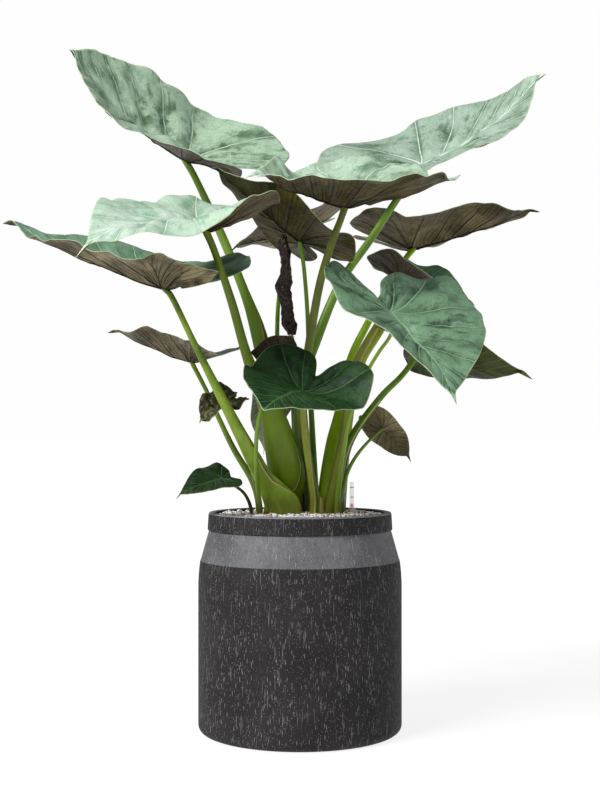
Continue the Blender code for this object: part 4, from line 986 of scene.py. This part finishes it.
def blade_top(name, colours, rough, specular):
    """The upper skin: glaucous green clouded with darker green, pale ribs, a waxy bloom with painted sheen, painted
    sheen along the midrib, painted shade beside the ribs, and a fine net.
    """
    skin = Finish(name, rough, specular)
    light, dark, rib = (linear(*colour) for colour in colours)
    flat = skin.layer("flat")
    count, spacing, _ = split(skin.layer("ribs"))
    across, reach, _ = split(skin.layer("edge"))
    along_rib = spread_out(count, reach)
    mottle = ramp(grain(flat, 62.0, 5.0, 0.66), 0.38, 0.66)
    cloud = grain(along_rib, 1.0, 5.0, 0.62, (2.0, 3.4, 1.0)) * 0.5 + grain(flat, 12.0, 6.0, 0.60) * 0.5
    # Painted shade: a little darker near the ribs and lighter in the middle of each puffed panel.
    mixed = ramp(cloud, 0.44, 0.59) * 0.60 + mottle * 0.32 - ramp(from_whole(count), 0.05, 0.5) * 0.12
    base = tint(ramp(mixed, 0.05, 0.95) * ramp(reach, 0.55, 1.0, 1.0, 0.45), light, dark)
    powder = ramp(grain(flat, 330.0, 4.0, 0.7), 0.38, 0.62, 0.0, 0.36)
    base = tint(powder, base, dark)
    streaks = ramp(grain(along_rib, 1.0, 5.0, 0.58, (2.8, 2.2, 1.0)), 0.50, 0.66)
    base = tint(streaks * ramp(reach, 0.25, 0.75, 0.25, 0.80), base, dark)
    # Broad pale patches: partly the leaf's glaucous bloom, partly painted sheen.
    bloom_and_sheen = ramp(grain(flat, 7.0, 4.0, 0.6), 0.50, 0.72, 0.0, 0.35)
    base = tint(bloom_and_sheen, base, tuple(0.45 * a + 0.55 * b for a, b in zip(light, rib)))
    cells = {"Vector": flat, "Scale": 150.0}
    net = put(skin.tree, "ShaderNodeTexVoronoi", cells, feature="DISTANCE_TO_EDGE")["Distance"]
    base = tint(ramp(net, 0.02, 0.12, 0.12, 0.0), base, rib)
    far = from_whole(count) * spacing
    wander = (grain(flat, 28.0, 2.0) - 0.5) * 0.0026
    side_line = rib_line(count, abs(far + wander), reach * -0.0011 + 0.0021, 0.40, 1.10)
    in_front = ramp(split(flat)[0], -0.002, 0.0)
    mid_far = abs(across)
    mid_line = (1.0 - ramp(mid_far / (reach * -0.0034 + 0.0052), 0.5, 1.1)) * in_front
    line = highest(side_line, mid_line)
    # Painted sheen: a pale band along the front of the midrib, broken up by noise.
    midrib_sheen = ramp(mid_far, 0.004, 0.050, 0.55, 0.0) * in_front * ramp(grain(flat, 16.0, 4.0, 0.6), 0.36, 0.58)
    base = tint(midrib_sheen, base, scaled(light, 1.45))
    # Painted shade: darker green in the grooves beside the side ribs and the midrib, in patches.
    beside = highest(ramp(far, 0.0012, 0.0105, 1.0, 0.0), ramp(mid_far, 0.002, 0.012, 0.45, 0.0) * in_front)
    patchy = ramp(grain(flat, 21.0, 3.0, 0.5), 0.40, 0.60, 0.08, 0.66)
    base = tint(beside * patchy, base, dark)
    base = tint(line * 0.88, base, rib)
    skin.colour(tint(ramp(reach, 0.987, 0.997) * 0.55, base, linear(206, 220, 172)))
    skin.relief(net * 0.35 - line * 0.4 + mottle * 0.30 + grain(flat, 22.0, 2.0, 0.5) * 1.6, 0.65, 0.0030)
    return skin.material


def blade_underside(name, colours):
    """The lower skin: satin brown or olive with pale patches of painted sheen, pleated along the ribs, with painted
    shade beside them and fine dark lines that run with them.
    """
    skin = Finish(name, 0.44, 0.20)
    light, dark, rib = (linear(*colour) for colour in colours)
    flat = skin.layer("flat")
    count, spacing, _ = split(skin.layer("ribs"))
    _, reach, _ = split(skin.layer("edge"))
    mottle = ramp(grain(flat, 70.0, 4.0, 0.6), 0.35, 0.70)
    mixed = ramp(grain(flat, 12.0, 5.0, 0.6), 0.38, 0.64) * 0.55 + mottle * 0.25
    # Painted shade: darker in the creases beside the ribs.
    mixed = mixed + ramp(from_whole(count), 0.08, 0.42, 0.22, 0.0)
    base = tint(mixed.reckon("MINIMUM", mixed, 1.0), light, dark)
    pleats = grain(spread_out(count, reach), 1.0, 4.0, 0.56, (5.2, 1.7, 1.0))
    base = tint(ramp(pleats, 0.50, 0.62, 0.0, 0.70), base, scaled(dark, 0.62))
    # Painted sheen: pale patches, stronger on the paler undersides.
    pale = ramp(grain(flat, 9.0, 5.0, 0.6), 0.49, 0.63, 0.0, 0.72)
    base = tint(pale, base, scaled(light, 1.75 if sum(colours[0]) > PALE_UNDERSIDE else 1.42))
    threads = ramp(from_whole(count * 5.0) * (spacing * 0.2), 0.0003, 0.0012, 0.42, 0.0)
    base = tint(threads, base, dark)
    side_line = rib_line(count, from_whole(count) * spacing, reach * -0.0009 + 0.0018, 0.45, 1.2)
    base = tint(side_line * 0.8, base, rib)
    skin.colour(tint(ramp(reach, 0.980, 0.996) * 0.35, base, linear(158, 156, 110)))
    skin.relief(mottle * 0.4 + threads + grain(flat, 24.0, 3.0, 0.6) * 2.0 + pleats * 3.6, 0.8, 0.0050)
    return skin.material


def rib_skin(name, rib):
    skin = Finish(name, 0.55, 0.15)
    streak = grain(skin.place(), 90.0, 3.0, 0.6)
    skin.colour(tint(ramp(streak, 0.3, 0.7), linear(*rib), scaled(linear(*rib), 0.6)))
    skin.relief(streak, 0.2, 0.0005)
    return skin.material


def blade_ribs(letter, form, puff, seed, finish):
    """Ribs below the blade: round, thickest at the stalk, each one following the underside out to the edge."""
    runs = [(np.linspace(0.0, 0.97, 40) * form.front, np.zeros(40), *MIDRIB_RADII)]
    across = np.linspace(0.0, 1.0, 34)
    for half, side in enumerate((-1.0, 1.0)):
        v = across * form.half_width[half] * side
        for number, start in enumerate(RIB_STARTS[:-1]):
            runs.append((rib_along(form, start, across, v) * form.front, v, 0.0014 if number < 3 else 0.0010, 0.00025))
        for number in (1, 2):
            back = across * form.half_width[half] * math.tan(number * BACK_RIB_STEP)
            u = rib_along(form, 0.0, across, v) * form.front - back
            runs.append((u, v, 0.0017 if number == 2 else 0.0013, 0.0003))
    scale = min(1.0, form.half_width[1] / 0.16)
    line = bpy.data.curves.new(f"leaf_{letter}_ribs", "CURVE")
    line.dimensions = "3D"
    line.bevel_depth = 1.0
    line.bevel_resolution = 1
    line.use_fill_caps = True
    for u, v, thick, thin in runs:
        reach, step = form.share_of(u, v)
        out = np.argmax(reach > RIB_END) if (reach > RIB_END).any() else len(reach)
        if out < 4:
            continue
        u, v, reach, step = (value[:out] for value in (u, v, reach, step))
        places = form.place(u, v, reach, step)
        places += skin_relief(form, u, v, reach, step, puff, seed)[:, None] * form.up
        share = np.linspace(0.0, 1.0, out)
        radii = (thick * (1.0 - share) ** 0.8 + thin) * scale
        places -= (radii * 0.75)[:, None] * form.up
        spline = line.splines.new("POLY")
        spline.points.add(out - 1)
        for point, place, radius in zip(spline.points, places, radii):
            point.co = (*place, 1.0)
            point.radius = radius
    made = bpy.data.objects.new(f"leaf_{letter}_ribs", line)
    bpy.context.scene.collection.objects.link(made)
    clear_selection()
    made.select_set(True)
    bpy.context.view_layer.objects.active = made
    bpy.ops.object.convert(target="MESH")
    made = bpy.context.object
    made.data.materials.clear()
    made.data.materials.append(finish)
    made.data.shade_smooth()
    return made


def crumpled(u, v, seed):
    """Rough noise in space over the flat leaf, in large and small folds."""
    large = (noise.noise_vector(Vector((52.0 * a, 52.0 * b, seed))) for a, b in zip(u, v))
    small = (noise.noise_vector(Vector((120.0 * a, 120.0 * b, 2.0))) for a, b in zip(u, v))
    return np.array([fold + 0.8 * crease for fold, crease in zip(large, small)])


def thicken(piece, thickness, material_offset=0):
    """Gives a sheet its thickness, half to each side."""
    wall = piece.modifiers.new("Thickness", "SOLIDIFY")
    wall.thickness = thickness
    wall.offset = 0.0
    wall.material_offset = material_offset
    bpy.ops.object.modifier_apply(modifier=wall.name)
    piece.data.shade_smooth()


def make_blade(letter, seed):
    """A blade: a grid whose rows are rings from the stalk to the edge, bent into form and given its thickness."""
    form = forms[letter]
    *colours, puff, drip, fineness = BLADE_LOOKS[letter]
    blade, across, out = new_grid(f"leaf_{letter}_blade", 2 * HALF_COLUMNS * fineness, 5 * fineness)
    column = across * 2.0 * HALF_COLUMNS
    side = np.where(column > HALF_COLUMNS, 1.0, -1.0)
    step = np.abs(column - HALF_COLUMNS)
    reach = out ** 0.92
    right, left = (form.edge(step, half) for half in (0, 1))
    edge_u, edge_v = (np.where(side > 0.0, far_left, far_right) for far_left, far_right in zip(left, right))
    u = edge_u * reach
    v = edge_v * reach * side
    places = form.place(u, v, reach, step)
    if letter in CRUMPLE:
        loose = np.clip(reach / 0.25, 0.0, 1.0) * (1.0 - 0.6 * reach ** 8)
        places += crumpled(u, v, seed) * CRUMPLE[letter] * loose[:, None]
    places += skin_relief(form, u, v, reach, step, puff, seed)[:, None] * form.up
    point = np.clip(1.0 - step / 0.85, 0.0, 1.0) ** 2 * np.clip((reach - 0.90) / 0.10, 0.0, 1.0)
    places += (point * drip / 1000.0)[:, None] * (0.6 * form.along + np.array((0.0, 0.0, -0.8)))
    lay_out(blade, places, flat=(u, v), ribs=rib_count(form, u, v), edge=(v, reach))
    mesh = blade.data
    normals = np.empty(len(mesh.polygons) * 3)
    mesh.polygons.foreach_get("normal", normals)
    edit_all()
    if (normals.reshape(-1, 3) @ form.up).sum() < 0.0:
        bpy.ops.mesh.flip_normals()
    bpy.ops.mesh.remove_doubles(threshold=0.000002)
    bpy.ops.object.mode_set(mode="OBJECT")
    mesh.materials.append(blade_top(f"leaf_{letter}_top", colours[:3], *GLOSS.get(letter, USUAL_GLOSS)))
    mesh.materials.append(blade_underside(f"leaf_{letter}_underside", colours[3:]))
    thicken(blade, BLADE_THICKNESS, 1)
    ribs = blade_ribs(letter, form, puff, seed, rib_skin(f"leaf_{letter}_ribs", colours[-1]))
    clear_selection()
    ribs.select_set(True)
    blade.select_set(True)
    bpy.context.view_layer.objects.active = blade
    bpy.ops.object.join()
    settle(blade, f"blade_{letter}")


for order, letter in enumerate(LEAVES):
    make_blade(letter, 3.7 * order + 1.0)


# ---- Dry leaf and bracts ----
# One old leaf has dried, rolled round itself and gone almost black. It stands on its own stalk, with a yellow-green
# bract at its foot, and a second short bract stands at the front of the clump.
# Rings of the roll: centre, half width, half depth, and how far it is turned.
DRY_ROLL = (
    (-0.020, 0.062, 0.841, 0.0095, 0.0080, 0.3), (-0.022, 0.062, 0.862, 0.0190, 0.0100, 0.5),
    (-0.026, 0.062, 0.885, 0.0160, 0.0095, 0.9), (-0.028, 0.062, 0.910, 0.0175, 0.0100, 1.1),
    (-0.034, 0.061, 0.938, 0.0230, 0.0095, 0.9), (-0.032, 0.061, 0.960, 0.0190, 0.0090, 0.7),
    (-0.029, 0.060, 0.985, 0.0135, 0.0090, 1.0), (-0.032, 0.060, 1.020, 0.0145, 0.0080, 1.3),
    (-0.035, 0.060, 1.045, 0.0105, 0.0065, 1.5), (-0.034, 0.060, 1.058, 0.0050, 0.0045, 1.6),
)
DRY_TURNS = 1.18
DRY_INNER = 0.45
DRY_THICKNESS = 0.0008
DRY_STALK = (
    (-0.004, 0.124, 0.437, 0.0075, 0.0075), (-0.005, 0.122, 0.480, 0.0075, 0.0075),
    (-0.014, 0.090, 0.700, 0.0065, 0.0065), (-0.018, 0.070, 0.800, 0.0065, 0.0060),
    (-0.019, 0.064, 0.822, 0.0088, 0.0066), (-0.020, 0.062, 0.8402, 0.0055, 0.0050),
)
BRACT = (
    (0.047, -0.014, 0.437, 0.0055, 0.0040), (0.046, -0.015, 0.470, 0.0050, 0.0035),
    (0.044, -0.016, 0.494, 0.0014, 0.0012),
)
BRACT_TONES = ((110, 140, 50), (140, 132, 70), 0.10)

make_stalk("dry_leaf_stalk", "stalk_dry", curve_at(DRY_STALK, np.linspace(0.0, 5.0, 50)), STALK_TONES["dry"])
make_stalk("front_bract", "bract", curve_at(BRACT, np.linspace(0.0, 2.0, 16)), BRACT_TONES)

dry_leaf, share, up = new_grid("dry_leaf_roll", 96, 90)
rows = curve_at(DRY_ROLL, up * (len(DRY_ROLL) - 1.0))
x, y, z, wide, deep, turned = rows.T
turn = turned + share * DRY_TURNS * math.tau
reach = 1.0 - (1.0 - DRY_INNER) * share
places = np.stack((x + wide * reach * np.cos(turn), y + deep * reach * np.sin(turn), z), 1)
folds = (0.0040 * noise.noise_vector(Vector((s * 7.0, height * 46.0, 2.0))) for s, height in zip(share, z))
creases = (0.0024 * noise.noise_vector(Vector((s * 21.0, height * 120.0, 5.0))) for s, height in zip(share, z))
places += np.array([fold + crease for fold, crease in zip(folds, creases)]) * np.array((1.0, 1.0, 0.4))
lay_out(dry_leaf, places, flat=(share, z))
thicken(dry_leaf, DRY_THICKNESS)
dry_skin = Finish("dry_leaf_skin", 0.30, 0.42)
flat = dry_skin.layer("flat")
fold = ramp(grain(flat, 1.0, 4.0, 0.6, (9.0, 26.0, 1.0)), 0.36, 0.66)
fleck = ramp(grain(flat, 1.0, 4.0, 0.7, (34.0, 150.0, 1.0)), 0.58, 0.70)
base = tint(fold, linear(14, 7, 5), linear(48, 24, 17))
base = tint(fleck * 0.7, base, linear(140, 128, 112))
dry_skin.colour(tint(ramp(split(flat)[0], 0.004, 0.030, 0.55, 0.0), base, linear(170, 160, 140)))
dry_skin.relief(fold + fleck, 0.6, 0.0015)
dry_leaf.data.materials.append(dry_skin.material)
settle(dry_leaf, "dry_leaf")
